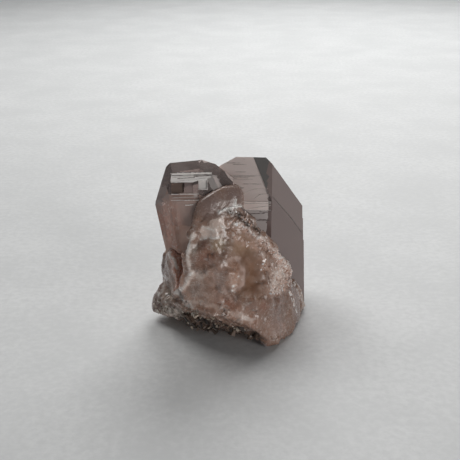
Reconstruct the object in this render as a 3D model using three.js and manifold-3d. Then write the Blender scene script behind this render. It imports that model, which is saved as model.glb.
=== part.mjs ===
import * as THREE from 'three';
import { ConvexGeometry } from 'three/addons/geometries/ConvexGeometry.js';
import { ConvexHull } from 'three/addons/math/ConvexHull.js';
import { ImprovedNoise } from 'three/addons/math/ImprovedNoise.js';
import { mergeVertices } from 'three/addons/utils/BufferGeometryUtils.js';
import Module from 'manifold-3d';

// Smoky quartz: two crystals and a smaller one grown together on a broken, crusted foot.
// Millimetres and degrees. X is to the right, Y goes away from the viewer, Z is up.
// A face's turn is its compass direction: 0 looks at the viewer, 90 to the right.
// A face's lean is how far it looks up from upright.

// Driving dimensions of the big crystal: faces by their distance from its upright axis
const BIG_AXIS = [3.5, 9];
const BIG_TURN = -4;
const BIG_PRISM = [
  { turn: 0, reach: 10.9, lean: 0 },
  { turn: 60, reach: 11.73, lean: 0 },
  { turn: 120, reach: 15.35, lean: 3.7 },
  { turn: 180, reach: 11.6, lean: 0.8 },
  { turn: 240, reach: 10.6, lean: 0.6 },
  { turn: 300, reach: 9.6, lean: 0.4 },
];
const RHOMB_LEAN = 40.8;
const BIG_TIP = [
  { turn: 180, lean: RHOMB_LEAN, peak: 29.7 },
  { turn: 120, lean: RHOMB_LEAN, peak: 41.8 },
  { turn: 226, lean: 51, peak: 36.7 },
];

// Driving dimensions of the side crystal: faces by a point that each passes through
const SIDE_TIP = [-12.7, -5.5, 40];
const SIDE_SHOULDER = [-16.4, -4, 32.1];
const SIDE_FACES = [
  { turn: 5.7, lean: 64, through: SIDE_TIP },
  { turn: 3.4, lean: 26.5, through: SIDE_TIP },
  { turn: -72, lean: 23, through: SIDE_TIP },
  { turn: -63, lean: 22.4, through: [-12.6, -6.7, 37.7] },
  { turn: -6.5, lean: -8.6, through: [-13, -7.7, 35.6] },
  { turn: -40, lean: -10, through: SIDE_SHOULDER },
  { turn: -106, lean: -8.3, through: SIDE_SHOULDER },
  { turn: -108, lean: 12, through: [-15, -3.2, 36.5] },
  { turn: 205, lean: 51.6, through: [-14.1, -1.5, 39.8] },
  { turn: 193, lean: 42, through: [-12.9, -2.8, 41.1] },
  { turn: 152, lean: 36, through: [-5.8, -1.6, 41.6] },
  { turn: 49, lean: 35.8, through: [-3.7, -5.2, 39.6] },
  { turn: 78, lean: 6, through: [1.2, -3.2, 35.5] },
  { turn: 178, lean: -4, through: [-8, 6.4, 28] },
  { turn: 232, lean: -5, through: [-14.6, 2.2, 28] },
  { turn: 0, lean: -90, through: [-10, 0, 8] },
];

// The smooth brown wedge between the two crystals
const WEDGE = {
  centre: [-2, -3, 30],
  rounding: 26,
  lumps: [{
    relief: 0.12,
    points: [
      [-6.7, -9.8, 34.3], [-1.1, -7.6, 37.2], [2, -6.4, 37.4], [3.7, -5.2, 35.1], [3.8, -4.6, 28],
      [2.3, -8.4, 32.9], [-4.7, -10.6, 32], [-8.3, -10.4, 29.6], [-7.9, -10.4, 25], [-0.6, -10, 26],
      [-6, 2, 34], [2.5, 2, 34], [-8, 2, 22], [3, 2, 24],
    ],
  }],
};

// The broken mass in front, as lumps that all hold its centre and run into each other
const MASS = {
  centre: [-1, -1, 13],
  rounding: 24,
  lumps: [
    {
      // Front
      relief: 0.7,
      points: [
        [-6.4, -10.8, 31.6], [-4.9, -10.8, 33], [-2, -10.4, 33], [0.6, -9.2, 33.8], [2.6, -8.2, 33.8],
        [4.3, -6, 31.6], [6.1, -5.4, 27.6], [8, -5.2, 25.2], [10.1, -4.8, 24], [11.5, -3.8, 21],
        [-9.2, -11, 28.4], [-9.8, -11.8, 20], [-2.8, -15.2, 18], [2.7, -15.4, 15.3], [9.7, -11.8, 15.6],
        [-10.8, -10.8, 11], [-6.3, -13.6, 9.8], [-1.3, -15.4, 9.1], [5.6, -15.4, 8], [8.8, -13.2, 4],
      ],
    },
    {
      // Rim
      relief: 0.7,
      points: [
        [11.9, -2.4, 18], [14.5, -0.4, 16.4], [16, 1.6, 13.3], [15.9, 1.8, 10.6], [14.8, -0.4, 9.8],
        [13.2, -3.4, 10.1], [9.8, -8.4, 13.7], [9.2, -8.6, 17.9], [9.4, -6.2, 21.5], [12, 8, 11],
      ],
    },
    {
      // Lobe
      relief: 0.4,
      points: [
        [-14.4, -3.2, 22.4], [-15.2, -2, 19.3], [-15.5, -1, 14.2], [-16.2, 0, 9.6], [-15.8, 0.6, 3.6],
        [-12.3, -7.9, 11.1], [-13.3, -7, 15.5], [-13.4, -6.2, 20.9], [-10.4, -10, 11], [-10, -5, 21],
        [-12, 9, 19], [-14, 10, 6],
      ],
    },
    {
      // Toe
      relief: 0.35,
      points: [
        [-16.4, 0, 10.2], [-18.7, 1, 6.5], [-20, 1.9, 3.4], [-18.8, 1.4, 1.4], [-17, -1, 1.8],
        [-15, -4.6, 7.4], [-14.6, 10.5, 5], [-8, -6, 4],
      ],
    },
    {
      // Crust
      relief: 0.8,
      points: [
        [-16.3, -1.2, 3.4], [-13.3, -5.2, 3.4], [-8.4, -8.4, 3.2], [-4.1, -9.6, 2.8], [0.1, -11.2, 2.4],
        [4.3, -11.8, 1.8], [-15.3, -4.2, 7.9], [-10.9, -10.2, 10.4], [-6.3, -13.2, 9.8], [-1.3, -15, 9.1],
        [3.9, -15.4, 7.6], [8, -13.8, 5], [7.5, -12.2, 1.2], [-8, 6, 2.5],
      ],
    },
    {
      // Foot
      relief: 0.35,
      points: [
        [20, 12.2, -1], [19.6, 11.6, 2], [18.9, 4.2, -1], [17.6, -3.2, -1], [15.2, -8, -1],
        [11.4, -13.6, -1], [9.4, -13.4, -1], [6.3, -15, 7.1], [4, -13.2, 15.5], [10.6, -11.4, 12],
        [15.2, -3.2, 9.4], [17.2, -3.2, 4.2], [19.2, 6, 6], [4, 14, -1], [4, 10, 18],
      ],
    },
    {
      // Back
      relief: 0.6,
      points: [
        [-15.4, 1, 19], [-14.6, 7, 17.5], [-9, 11, 20], [-5, 10, 23], [-16.4, 3, 10], [-15, 9, 4],
        [-9, 15.5, 13], [-6, 17, 5], [-16, 2, 3], [-6, -2, 20],
      ],
    },
    {
      // Base
      relief: 0.3,
      points: [
        [8, 20, -1], [-5, 17, -1], [-12.5, 12.5, -1], [-15, 6, -1], [-11, -1, -1], [0, -6, -1],
        [10, -10, -1], [16, 0, -1], [17, 13, -1], [-13, 10, 10], [-6, 15, 11], [8, 18, 9], [14, 8, 9],
      ],
    },
  ],
};

// Hollows and swellings of the broken surface, and the ridges that run over it
const SWELLS = [
  { at: [3.8, -10.6, 24.2], radius: 4.8, rise: -1 }, // golden hollow
  { at: [6.6, -11.4, 18.4], radius: 5, rise: -1.3 }, // deep brown hollow
  { at: [1.4, -13.4, 18.9], radius: 3, rise: 0.7 }, // sparkling bulb
  { at: [-3.6, -10.8, 29.2], radius: 3.6, rise: 0.5 }, // frosted patch
  { at: [-5, -13, 21.5], radius: 3.6, rise: -0.7 }, // left hollow
  { at: [0, -14.6, 13], radius: 4, rise: -0.8 }, // low hollow
  { at: [12.4, -8, 6.5], radius: 4, rise: -0.8 }, // foot hollow
  { at: [-14.6, -3.6, 10.5], radius: 3.4, rise: -0.7 }, // lobe hollow
];
const RIM_PATH = [
  [3.9, -7, 31], [6.3, -7.3, 26.4], [8.2, -6.7, 24.4], [11, -3.6, 20], [14.8, 0.4, 14.6], [15.2, 0, 10.6],
  [12.4, -4.2, 10.6],
];
const VEIN_PATH = [
  [-7.9, -10.7, 27], [-9.6, -11, 22.4], [-9.2, -11.4, 20.3], [-8.2, -11.8, 18.3], [-10.4, -9.8, 14.2],
  [-12, -8, 11.2],
];
const LIP_PATH = [
  [-15, -4.4, 8.2], [-11, -9.6, 9.6], [-6.3, -13, 10], [-1.3, -15, 9.6], [3.9, -15.2, 7.8], [8, -13.8, 4.8],
];
const CRUST_PATH = [
  [-16.8, -1.6, 5], [-12.6, -7, 5.6], [-8, -10.2, 5.8], [-3, -12.4, 5.2], [1.6, -13.2, 4.2],
  [5, -13.4, 3.2],
];
const CREVICE_PATH = [[0.2, -9.6, 32.4], [3, -8.4, 30.6], [6.6, -7.6, 26.6]];
const CREST_PATH = [[-4.6, -10.4, 32], [-2, -10.2, 32], [0.6, -9, 33], [2.4, -8, 33.4]];
const SEAM_PATH = [[-10.4, -8.4, 23], [-10.7, -8.8, 19], [-10.5, -9.4, 15.4]];
const FOOT_PATH = [[14, -3.4, 10], [15.7, -3.1, 7], [17.1, -3.2, 3.6]];
const RIDGES = [
  { along: RIM_PATH, width: 1.8, rise: 0.7 },
  { along: VEIN_PATH, width: 1.2, rise: 0.5 },
  { along: SEAM_PATH, width: 2.8, rise: 1.7 },
  { along: LIP_PATH, width: 1.6, rise: 0.7 },
  { along: CRUST_PATH, width: 2.4, rise: -1 },
  { along: FOOT_PATH, width: 1, rise: 0.4 },
  { along: CREVICE_PATH, width: 1.1, rise: -1.1 },
  { along: CREST_PATH, width: 1, rise: 0.5 },
];

// Bands of small angular grains grown on the broken surface
const GRAIN_BANDS = [
  { along: CRUST_PATH, spread: 2.2, count: 60, small: 0.5, large: 1.1 },
  { along: RIM_PATH, spread: 1.2, count: 34, small: 0.4, large: 0.85 },
  { along: VEIN_PATH, spread: 0.5, count: 12, small: 0.35, large: 0.6 },
];
const GRAIN_SINK = 0.35;
const GRAIN_SQUASH = { least: 0.7, spread: 0.5 };
const GRAIN_TURN = 6;
const GRAIN_SEED = 7;
const SEED_FACTOR = 16807;
const SEED_LIMIT = 2147483647;

// Growth steps cut into crystal faces, outlined across and up each face
const BIG_STEPS = [
  { face: 0, deep: 0.42, tip: 2.4, pivot: 42.4, outline: [[-8, 31.5], [7.3, 31.8], [2.9, 42.5], [-8, 43.6]] },
  { face: 0, deep: 0.22, outline: [[-8, 29.7], [7.7, 29.7], [7.3, 31.85], [-8, 31.6]] },
  { face: 2, deep: 0.25, outline: [[-9, 16], [2, 16.6], [4, 30], [-9, 30]] },
  { face: 2, deep: 0.45, outline: [[-9, 22], [-2, 22.5], [-1, 30], [-9, 30]] },
  { face: 3, deep: 0.25, outline: [[-9, 10.5], [9, 9.8], [9, 13], [-9, 13]] },
  { face: 4, deep: 0.3, outline: [[-9, 15], [3, 15.5], [3, 22.8], [9, 23], [9, 45], [-9, 45]] },
];
const BIG_TIP_STEPS = [
  { tip: 0, deep: 0.28, outline: [[-12, -20], [-1.5, -20], [2.5, -9], [-3, 1], [-12, 4]] },
  { tip: 0, deep: 0.22, outline: [[5, -20], [12, -20], [12, -6], [6.5, -8]] },
];
const SIDE_STEPS = [
  { deep: 0.5, outline: [[0.15, -4.7], [3, -4.7], [3, -2.5], [0.15, -2.5]] },
  { deep: 0.25, outline: [[3.1, -4.8], [4.9, -4.8], [4.9, -2.4], [3.1, -2.4]] },
  { deep: 0.35, outline: [[6.2, -4], [8.2, -4], [8.2, -2], [6.2, -2]] },
  { deep: 0.2, outline: [[0.1, -2.3], [9.2, -1.4], [9.2, -0.3], [0.1, -0.3]] },
  { deep: 0.3, outline: [[0.1, -6], [6.2, -6.4], [6.2, -5], [0.1, -5]] },
];

const MASS_DETAIL = 18;
const WEDGE_DETAIL = 7;

// Roughness of the broken surface: crests between creases, each round of it finer and lower
const ROUGH = { scale: 0.17, rounds: 4, crest: 0.7, crease: 2.8, fade: 0.62, whole: 1.4 };

const STEP_PROUD = 1.5;
const BELOW = { wide: 80, deep: 20 };
const WELD = 1e-3;
const SLIGHT = 1e-6;
const HEART = 1;

const noise = new ImprovedNoise();
const radians = THREE.MathUtils.degToRad;

const wasm = await Module();
wasm.setup();

// A face's outward direction
function facing(turn, lean) {
  const a = radians(turn);
  const t = radians(lean);
  return new THREE.Vector3(Math.sin(a) * Math.cos(t), -Math.cos(a) * Math.cos(t), Math.sin(t));
}

function solidOf(geometry) {
  const bare = geometry.clone();
  bare.deleteAttribute('normal');
  bare.deleteAttribute('uv');
  const welded = mergeVertices(bare, WELD);
  return new wasm.Manifold(new wasm.Mesh({
    numProp: 3,
    vertProperties: new Float32Array(welded.attributes.position.array),
    triVerts: new Uint32Array(welded.index.array),
  }));
}

// The body kept behind every one of a list of planes
function crystal(planes) {
  const corners = [];
  for (let i = 0; i < planes.length; i += 1) {
    for (let j = i + 1; j < planes.length; j += 1) {
      for (let k = j + 1; k < planes.length; k += 1) {
        const corner = meeting(planes[i], planes[j], planes[k]);
        if (corner && planes.every((p) => p.normal.dot(corner) <= p.reach + SLIGHT)) {
          corners.push(corner);
        }
      }
    }
  }
  return solidOf(new ConvexGeometry(corners));
}

function meeting(a, b, c) {
  const bc = b.normal.clone().cross(c.normal);
  const bulk = a.normal.dot(bc);
  if (Math.abs(bulk) < SLIGHT) return null;
  const ca = c.normal.clone().cross(a.normal);
  const ab = a.normal.clone().cross(b.normal);
  return bc.multiplyScalar(a.reach).addScaledVector(ca, b.reach).addScaledVector(ab, c.reach)
    .divideScalar(bulk);
}

function planeThrough({ turn, lean, through }) {
  const normal = facing(turn, lean);
  return { normal, reach: normal.dot(new THREE.Vector3(...through)) };
}

function bigCrystal() {
  const axis = new THREE.Vector3(...BIG_AXIS, 0);
  const planes = BIG_PRISM.map(({ turn, lean, reach }) => {
    const normal = facing(BIG_TURN + turn, lean);
    return { normal, reach: normal.dot(axis) + reach };
  });
  for (const { turn, lean, peak } of BIG_TIP) {
    const normal = facing(BIG_TURN + turn, lean);
    planes.push({ normal, reach: normal.dot(axis) + normal.z * peak });
  }
  planes.push({ normal: new THREE.Vector3(0, 0, -1), reach: 1 });
  return crystal(planes);
}

function sideCrystal() {
  return crystal(SIDE_FACES.map(planeThrough));
}

// How far a lump reaches from the centre along a ray, with its hull's edges rounded
function reachOf(lump, centre, ray, rounding) {
  let sum = 0;
  for (const face of lump.faces) {
    const towards = face.normal.dot(ray);
    if (towards > 0) sum += (towards / (face.constant - face.normal.dot(centre))) ** rounding;
  }
  return sum ** (-1 / rounding);
}

// Lumps around one centre, run together into one skin: gives its reach and relief along a ray
function massForm({ centre: middle, rounding, lumps }) {
  const centre = new THREE.Vector3(...middle);
  const hulls = lumps.map(({ points, relief }) => {
    const corners = points.map((p) => new THREE.Vector3(...p));
    for (const step of [HEART, -HEART]) {
      corners.push(centre.clone().add(new THREE.Vector3(step, 0, 0)));
      corners.push(centre.clone().add(new THREE.Vector3(0, step, 0)));
      corners.push(centre.clone().add(new THREE.Vector3(0, 0, step)));
    }
    return { faces: new ConvexHull().setFromPoints(corners).faces, relief };
  });
  const along = (ray) => {
    let sum = 0;
    let relief = 0;
    for (const hull of hulls) {
      const share = reachOf(hull, centre, ray, rounding) ** rounding;
      sum += share;
      relief += share * hull.relief;
    }
    return { reach: sum ** (1 / rounding), relief: relief / sum };
  };
  return { centre, along };
}

function massSolid({ centre, along }, detail, features) {
  const skin = new THREE.IcosahedronGeometry(1, detail);
  const position = skin.attributes.position;
  const ray = new THREE.Vector3();
  const point = new THREE.Vector3();
  for (let i = 0; i < position.count; i += 1) {
    ray.fromBufferAttribute(position, i).normalize();
    const { reach, relief } = along(ray);
    point.copy(centre).addScaledVector(ray, reach);
    const rise = relief * roughness(point) + (features ? featureRise(point) : 0);
    point.addScaledVector(ray, rise);
    position.setXYZ(i, point.x, point.y, point.z);
  }
  return solidOf(skin);
}

// A smooth mound of 1 at its middle and 0 at its edge
function mound(distance, radius) {
  return distance < radius ? (1 - (distance / radius) ** 2) ** 2 : 0;
}

function featureRise(point) {
  let rise = 0;
  for (const { at, radius, rise: height } of SWELLS) {
    rise += height * mound(point.distanceTo(new THREE.Vector3(...at)), radius);
  }
  for (const { along, width, rise: height } of RIDGES) {
    rise += height * mound(distanceToPath(point, along), width);
  }
  return rise;
}

function distanceToPath(point, path) {
  const line = new THREE.Line3();
  const near = new THREE.Vector3();
  let best = Infinity;
  for (let i = 1; i < path.length; i += 1) {
    line.set(new THREE.Vector3(...path[i - 1]), new THREE.Vector3(...path[i]));
    best = Math.min(best, line.closestPointToPoint(point, true, near).distanceTo(point));
  }
  return best;
}

// Angular grains along the bands, each a squashed and turned icosahedron half sunk in the mass
function grains({ centre, along }) {
  const random = seeded(GRAIN_SEED);
  const solids = [];
  for (const { along: path, spread, count, small, large } of GRAIN_BANDS) {
    const curve = new THREE.CatmullRomCurve3(path.map((p) => new THREE.Vector3(...p)));
    for (let i = 0; i < count; i += 1) {
      const place = curve.getPoint((i + random()) / count);
      const aside = new THREE.Vector3(random() - 0.5, random() - 0.5, random() - 0.5);
      place.addScaledVector(aside, 2 * spread);
      const size = small + (large - small) * random() ** 2;
      const ray = place.sub(centre).normalize();
      const at = centre.clone().addScaledVector(ray, along(ray).reach);
      at.addScaledVector(ray, featureRise(at) - GRAIN_SINK * size);
      const grain = new THREE.IcosahedronGeometry(size, 0);
      const squash = () => GRAIN_SQUASH.least + GRAIN_SQUASH.spread * random();
      grain.scale(1, squash(), squash());
      grain.applyMatrix4(new THREE.Matrix4().makeRotationFromEuler(
        new THREE.Euler(GRAIN_TURN * random(), GRAIN_TURN * random(), GRAIN_TURN * random()),
      ));
      grain.translate(at.x, at.y, at.z);
      solids.push(solidOf(grain));
    }
  }
  return solids;
}

function seeded(seed) {
  let state = seed;
  return () => {
    state = (state * SEED_FACTOR) % SEED_LIMIT;
    return state / SEED_LIMIT;
  };
}

// A thin plate to cut from a face: its outline runs across and up the face from a point on it
function step({ turn, lean, through }, { outline, deep, tip = 0, pivot = 0 }) {
  const shape = new THREE.Shape(outline.map(([across, up]) => new THREE.Vector2(across, up)));
  const plate = new THREE.ExtrudeGeometry(shape, { depth: deep + STEP_PROUD, bevelEnabled: false });
  plate.translate(0, -pivot, tip ? 0 : -deep);
  plate.rotateX(radians(tip));
  plate.translate(0, pivot, 0);
  const out = facing(turn, lean);
  const across = new THREE.Vector3(Math.cos(radians(turn)), Math.sin(radians(turn)), 0);
  const up = out.clone().cross(across);
  plate.applyMatrix4(new THREE.Matrix4().makeBasis(across, up, out).setPosition(through));
  return solidOf(plate);
}

function bigSteps() {
  const axis = new THREE.Vector3(...BIG_AXIS, 0);
  const onPrism = BIG_STEPS.map((cut) => {
    const { turn, lean, reach } = BIG_PRISM[cut.face];
    const through = axis.clone().addScaledVector(facing(BIG_TURN + turn, lean), reach);
    return step({ turn: BIG_TURN + turn, lean, through }, cut);
  });
  const onTip = BIG_TIP_STEPS.map((cut) => {
    const { turn, lean, peak } = BIG_TIP[cut.tip];
    const through = axis.clone().setZ(peak);
    return step({ turn: BIG_TURN + turn, lean, through }, cut);
  });
  return [...onPrism, ...onTip];
}

function sideSteps() {
  const { turn, lean } = SIDE_FACES[1];
  const through = new THREE.Vector3(...SIDE_TIP);
  return SIDE_STEPS.map((cut) => step({ turn, lean, through }, cut));
}

// Ridged unevenness, about -1 to 1, coarse first
function roughness(point) {
  let sum = 0;
  let weight = 1;
  let { scale } = ROUGH;
  for (let round = 0; round < ROUGH.rounds; round += 1) {
    const n = noise.noise(point.x * scale + round, point.y * scale - round, point.z * scale);
    sum += weight * (ROUGH.crest - ROUGH.crease * Math.abs(n));
    weight *= ROUGH.fade;
    scale *= 2;
  }
  return sum / ROUGH.whole;
}

function belowFloor() {
  const slab = new THREE.BoxGeometry(BELOW.wide, BELOW.wide, BELOW.deep);
  slab.translate(0, 0, -BELOW.deep / 2);
  return solidOf(slab);
}

function cluster() {
  let big = bigCrystal();
  for (const cut of bigSteps()) big = big.subtract(cut);
  let side = sideCrystal();
  for (const cut of sideSteps()) side = side.subtract(cut);
  const form = massForm(MASS);
  let body = big.add(side)
    .add(massSolid(massForm(WEDGE), WEDGE_DETAIL, false))
    .add(massSolid(form, MASS_DETAIL, true));
  for (const grain of grains(form)) body = body.add(grain);
  return body.subtract(belowFloor());
}

function geometryOf(solid) {
  const { vertProperties, triVerts } = solid.getMesh();
  const geometry = new THREE.BufferGeometry();
  geometry.setAttribute('position', new THREE.BufferAttribute(new Float32Array(vertProperties), 3));
  geometry.setIndex(new THREE.BufferAttribute(outerSkin(triVerts), 1));
  geometry.computeVertexNormals();
  return geometry;
}

// The largest connected skin: a pinched pocket left between two lumps is filled
function outerSkin(corners) {
  const chief = [];
  const chiefOf = (i) => {
    let at = i;
    while (chief[at] !== undefined && chief[at] !== at) at = chief[at];
    return at;
  };
  for (let i = 0; i < corners.length; i += 3) {
    for (const other of [corners[i + 1], corners[i + 2]]) chief[chiefOf(other)] = chiefOf(corners[i]);
  }
  const skins = new Map();
  for (let i = 0; i < corners.length; i += 3) {
    const name = chiefOf(corners[i]);
    if (!skins.has(name)) skins.set(name, []);
    skins.get(name).push(corners[i], corners[i + 1], corners[i + 2]);
  }
  const largest = [...skins.values()].reduce((best, skin) => (skin.length > best.length ? skin : best));
  return new Uint32Array(largest);
}

// The origin goes to the middle of the box's underside
function stand(geometry) {
  geometry.computeBoundingBox();
  const { min, max } = geometry.boundingBox;
  geometry.translate(-(min.x + max.x) / 2, -(min.y + max.y) / 2, -min.z);
  return geometry;
}

const smokyQuartz = new THREE.Mesh(
  stand(geometryOf(cluster())),
  new THREE.MeshStandardMaterial({ color: 0x7d6860, roughness: 0.18, metalness: 0 }),
);
smokyQuartz.name = 'smoky_quartz_cluster';

const part = new THREE.Group();
part.add(smokyQuartz);

export default part;
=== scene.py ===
"""Smoky quartz specimen: a tall crystal and a leaning one on a broken, crusted quartz foot."""

import logging
import math
import random
from dataclasses import dataclass
from enum import Enum

import bmesh
import bpy
import numpy as np
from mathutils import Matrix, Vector, noise
from mathutils.bvhtree import BVHTree


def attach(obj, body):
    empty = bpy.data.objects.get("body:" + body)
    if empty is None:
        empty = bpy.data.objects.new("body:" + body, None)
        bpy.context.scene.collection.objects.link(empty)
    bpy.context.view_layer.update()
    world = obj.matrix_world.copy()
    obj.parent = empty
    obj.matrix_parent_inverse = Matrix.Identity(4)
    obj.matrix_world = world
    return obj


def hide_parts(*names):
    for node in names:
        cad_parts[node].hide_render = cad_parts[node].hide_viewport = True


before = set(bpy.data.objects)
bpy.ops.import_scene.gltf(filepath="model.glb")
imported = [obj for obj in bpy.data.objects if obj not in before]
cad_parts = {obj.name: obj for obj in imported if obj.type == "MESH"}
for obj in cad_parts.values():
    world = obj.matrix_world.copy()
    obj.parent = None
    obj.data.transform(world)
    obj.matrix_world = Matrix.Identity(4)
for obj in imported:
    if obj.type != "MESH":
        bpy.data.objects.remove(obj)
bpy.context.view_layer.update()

log = logging.getLogger("quartz")

Point = tuple[float, float, float]
Colour = tuple[float, float, float]
Feed = bpy.types.NodeSocket | float | tuple[float, ...]

MM = 0.001
NODE = "smoky_quartz_cluster"
BODY = "root"
TONE = "tone"
TINT = "tint"
TONED = "toned"
RELIEF = "relief"
GRAIN_TONE = "grain_tone"
WEIGHT = "weight"
NOISE_SEED = 1

# Places are in millimetres from the drawing's origin, which lies here from the middle of the underside
DRAWN_ORIGIN = (0.4248, 2.6578, 0.0)

# Where the photograph's camera aims, how far it looks down in degrees, and how far off it is
AIM = (0.5, 0.0, 24.0)
LOOK_DOWN = 22.0
EYE_DISTANCE = 208.0

# What is drawn as seen from the front reaches back to here, in drawn millimetres
FRONT_LIMIT = 3.0
QUARTZ_IOR = 1.544


class Mask(Enum):
    """The painted masks that the surface carries, one vertex attribute each."""

    BROKEN = "broken"
    HAZE = "haze"
    FROST = "frost"
    STAIN = "stain"
    GOLD = "gold"
    VEIL = "veil"
    CRUST = "crust"
    SNOW = "snow"
    SPARKLE = "sparkle"
    LUMP = "lump"
    GLASSY = "glassy"


def placed(point: Point) -> Vector:
    """A drawn place in millimetres as a place in metres in the frame."""
    return (Vector(point) - Vector(DRAWN_ORIGIN)) * MM


def drawn(places: np.ndarray) -> np.ndarray:
    """Places in metres in the frame as drawn places in millimetres."""
    return places / MM + np.array(DRAWN_ORIGIN)


def mound(distance: np.ndarray, radius: float) -> np.ndarray:
    """A smooth fall from 1 at no distance to 0 at the radius.

    Args:
        distance: Distances, in any unit.
        radius: Where the fall ends, in the same unit.

    Returns:
        The height of the fall at each distance.
    """
    return np.clip(1 - (distance / radius) ** 2, 0, 1) ** 2


@dataclass(frozen=True)
class Spot:
    """A round patch of a mask, in drawn millimetres."""

    at: Point
    radius: float
    strength: float = 1.0

    def weight(self, points: np.ndarray) -> np.ndarray:
        """How strongly the patch covers each drawn point."""
        return self.strength * mound(np.linalg.norm(points - np.array(self.at), axis=1), self.radius)


@dataclass(frozen=True)
class Trail:
    """A band of a mask along a path, in drawn millimetres."""

    along: tuple[tuple[float, ...], ...]
    width: float
    strength: float = 1.0

    def distance(self, points: np.ndarray) -> np.ndarray:
        """How far points lie from the path.

        Args:
            points: Places in the path's own coordinates.

        Returns:
            Each point's distance in millimetres.
        """
        best = np.full(len(points), np.inf)
        for start, end in zip(self.along, self.along[1:] or self.along):
            a = np.array(start)
            run = np.array(end) - a + 1e-6
            share = np.clip((points - a) @ run / (run @ run), 0, 1)
            best = np.minimum(best, np.linalg.norm(points - a - share[:, None] * run, axis=1))
        return best

    def weight(self, points: np.ndarray) -> np.ndarray:
        """How strongly the band covers each drawn point."""
        return self.strength * mound(self.distance(points), self.width)


def eye_place() -> Point:
    """Where the photograph was taken from, as a drawn place."""
    down = math.radians(LOOK_DOWN)
    return AIM[0], AIM[1] - math.cos(down) * EYE_DISTANCE, AIM[2] + math.sin(down) * EYE_DISTANCE


def as_seen(points: np.ndarray) -> np.ndarray:
    """Where drawn points are seen from the front, across and up from the aim.

    Args:
        points: Drawn places in millimetres.

    Returns:
        Two millimetre values for each place, at the scale that the aim has.
    """
    down = math.radians(LOOK_DOWN)
    from_eye = points - np.array(eye_place())
    away = from_eye @ np.array((0, math.cos(down), -math.sin(down)))
    up = from_eye @ np.array((0, math.sin(down), math.cos(down)))
    return np.column_stack((from_eye[:, 0], up)) * (EYE_DISTANCE / away)[:, None]


@dataclass(frozen=True)
class Seen(Trail):
    """A band of a mask along a path as it is seen from the front, across and up from the aim."""

    def weight(self, points: np.ndarray) -> np.ndarray:
        """How strongly the band covers each drawn point on the front."""
        return super().weight(as_seen(points)) * (points[:, 1] < FRONT_LIMIT)


@dataclass(frozen=True)
class Plane:
    """A crystal face, by the way it looks and a drawn point on it."""

    turn: float
    lean: float
    through: Point

    def axes(self) -> np.ndarray:
        """The face's own directions.

        Returns:
            The directions across, up and out of the face, one row each.
        """
        turn, lean = math.radians(self.turn), math.radians(self.lean)
        out = np.array((math.sin(turn) * math.cos(lean), -math.cos(turn) * math.cos(lean), math.sin(lean)))
        across = np.array((math.cos(turn), math.sin(turn), 0))
        return np.array((across, np.cross(out, across), out))


@dataclass(frozen=True)
class Panel:
    """A flat patch of another tone between straight sides, on one crystal face."""

    plane: Plane
    outline: tuple[tuple[float, float], ...]
    tone: Colour
    share: float = 1.0
    depth: float = 0.9

    def covers(self, points: np.ndarray) -> np.ndarray:
        """Which drawn points lie on the patch.

        Args:
            points: Drawn places in millimetres.

        Returns:
            True for each point on it.
        """
        across, up, out = self.plane.axes() @ (points - np.array(self.plane.through)).T
        inside = np.zeros(len(points), bool)
        for (x0, y0), (x1, y1) in zip(self.outline, self.outline[1:] + self.outline[:1]):
            if y0 != y1:
                crossing = x0 + (up - y0) * (x1 - x0) / (y1 - y0)
                inside ^= ((y0 > up) != (y1 > up)) & (across < crossing)
        return inside & (np.abs(out) < self.depth)


RIM = (
    (3.9, -7, 31), (6.3, -7.3, 26.4), (8.2, -6.7, 24.4), (11, -3.6, 20), (14.8, 0.4, 14.6),
    (15.2, 0, 10.6), (12.4, -4.2, 10.6),
)
VEIN = (
    (-7.9, -10.7, 27), (-9.6, -11, 22.4), (-9.2, -11.4, 20.3), (-8.2, -11.8, 18.3),
    (-10.4, -9.8, 14.2), (-12, -8, 11.2), (-15, -4.4, 8.2),
)
LIP = (
    (-15, -4.4, 8.2), (-11, -9.6, 9.6), (-6.3, -13, 10), (-1.3, -15, 9.6), (3.9, -15.2, 7.8),
    (8, -13.8, 4.8),
)
CRUST = (
    (-10.6, -8.6, 5.6), (-8, -10.2, 5.8), (-3, -12.4, 5.2), (1.6, -13.2, 4.2),
    (6, -14, 2.6),
)
UNDER_CRUST = ((-10, -7.2, 3.2), (-4, -10, 2.6), (0.5, -11.6, 2), (5, -12.4, 1.4))
BACK_FOOT = ((-15, 7, 3), (-7, 15.5, 3), (4, 17.5, 2.5), (14, 14, 2), (17.5, 6, 2))
CREVICE = ((0.2, -9.6, 32.4), (3, -8.4, 30.6), (6.6, -7.6, 26.6))
SEAM = ((14, -3.4, 10.4), (15.7, -3.1, 7), (17.1, -3.2, 3.6))

SEEN_VEIN = ((-8.8, -10), (-9.9, -11.5), (-10.9, -13.6), (-12.2, -14.4))
SEEN_THREADS = (
    ((-10.9, -0.6), (-10, -2.4), (-9.7, -6.9), (-9.3, -8.9), (-8.8, -10)),
    ((-8.5, -1.1), (-9.5, -2.9), (-9.2, -5)),
    ((-12.2, -14.2), (-10.9, -16.8), (-8.8, -18.1)),
    ((-14.5, -5.3), (-13.2, -6.9), (-12.5, -8.9)),
    ((-15.1, -12.3), (-15.8, -14.2), (-16.6, -14.7)),
)
SEEN_RIM = (
    (0, 1.6), (2.5, 1.1), (5.3, -0.6), (7.5, -2.5), (9.7, -4.4), (11.9, -6.9), (13.3, -9.7), (13.1, -11.6),
    (11.9, -13.5), (10, -14.4),
)
SEEN_GLITTER = ((0.3, -0.6), (1.8, -2.2), (5.6, -3.7), (6.9, -4.4), (7.5, -5.9), (8.1, -8.4), (9.1, -8.8))
SEEN_LIP = ((-10.4, -16.6), (-5.7, -17.2), (-1, -18.5), (1.8, -19.7), (5, -21.3))
SEEN_CREST = ((-2.7, 4), (-1.1, 5), (1.1, 5.4), (2.6, 5.5))

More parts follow.
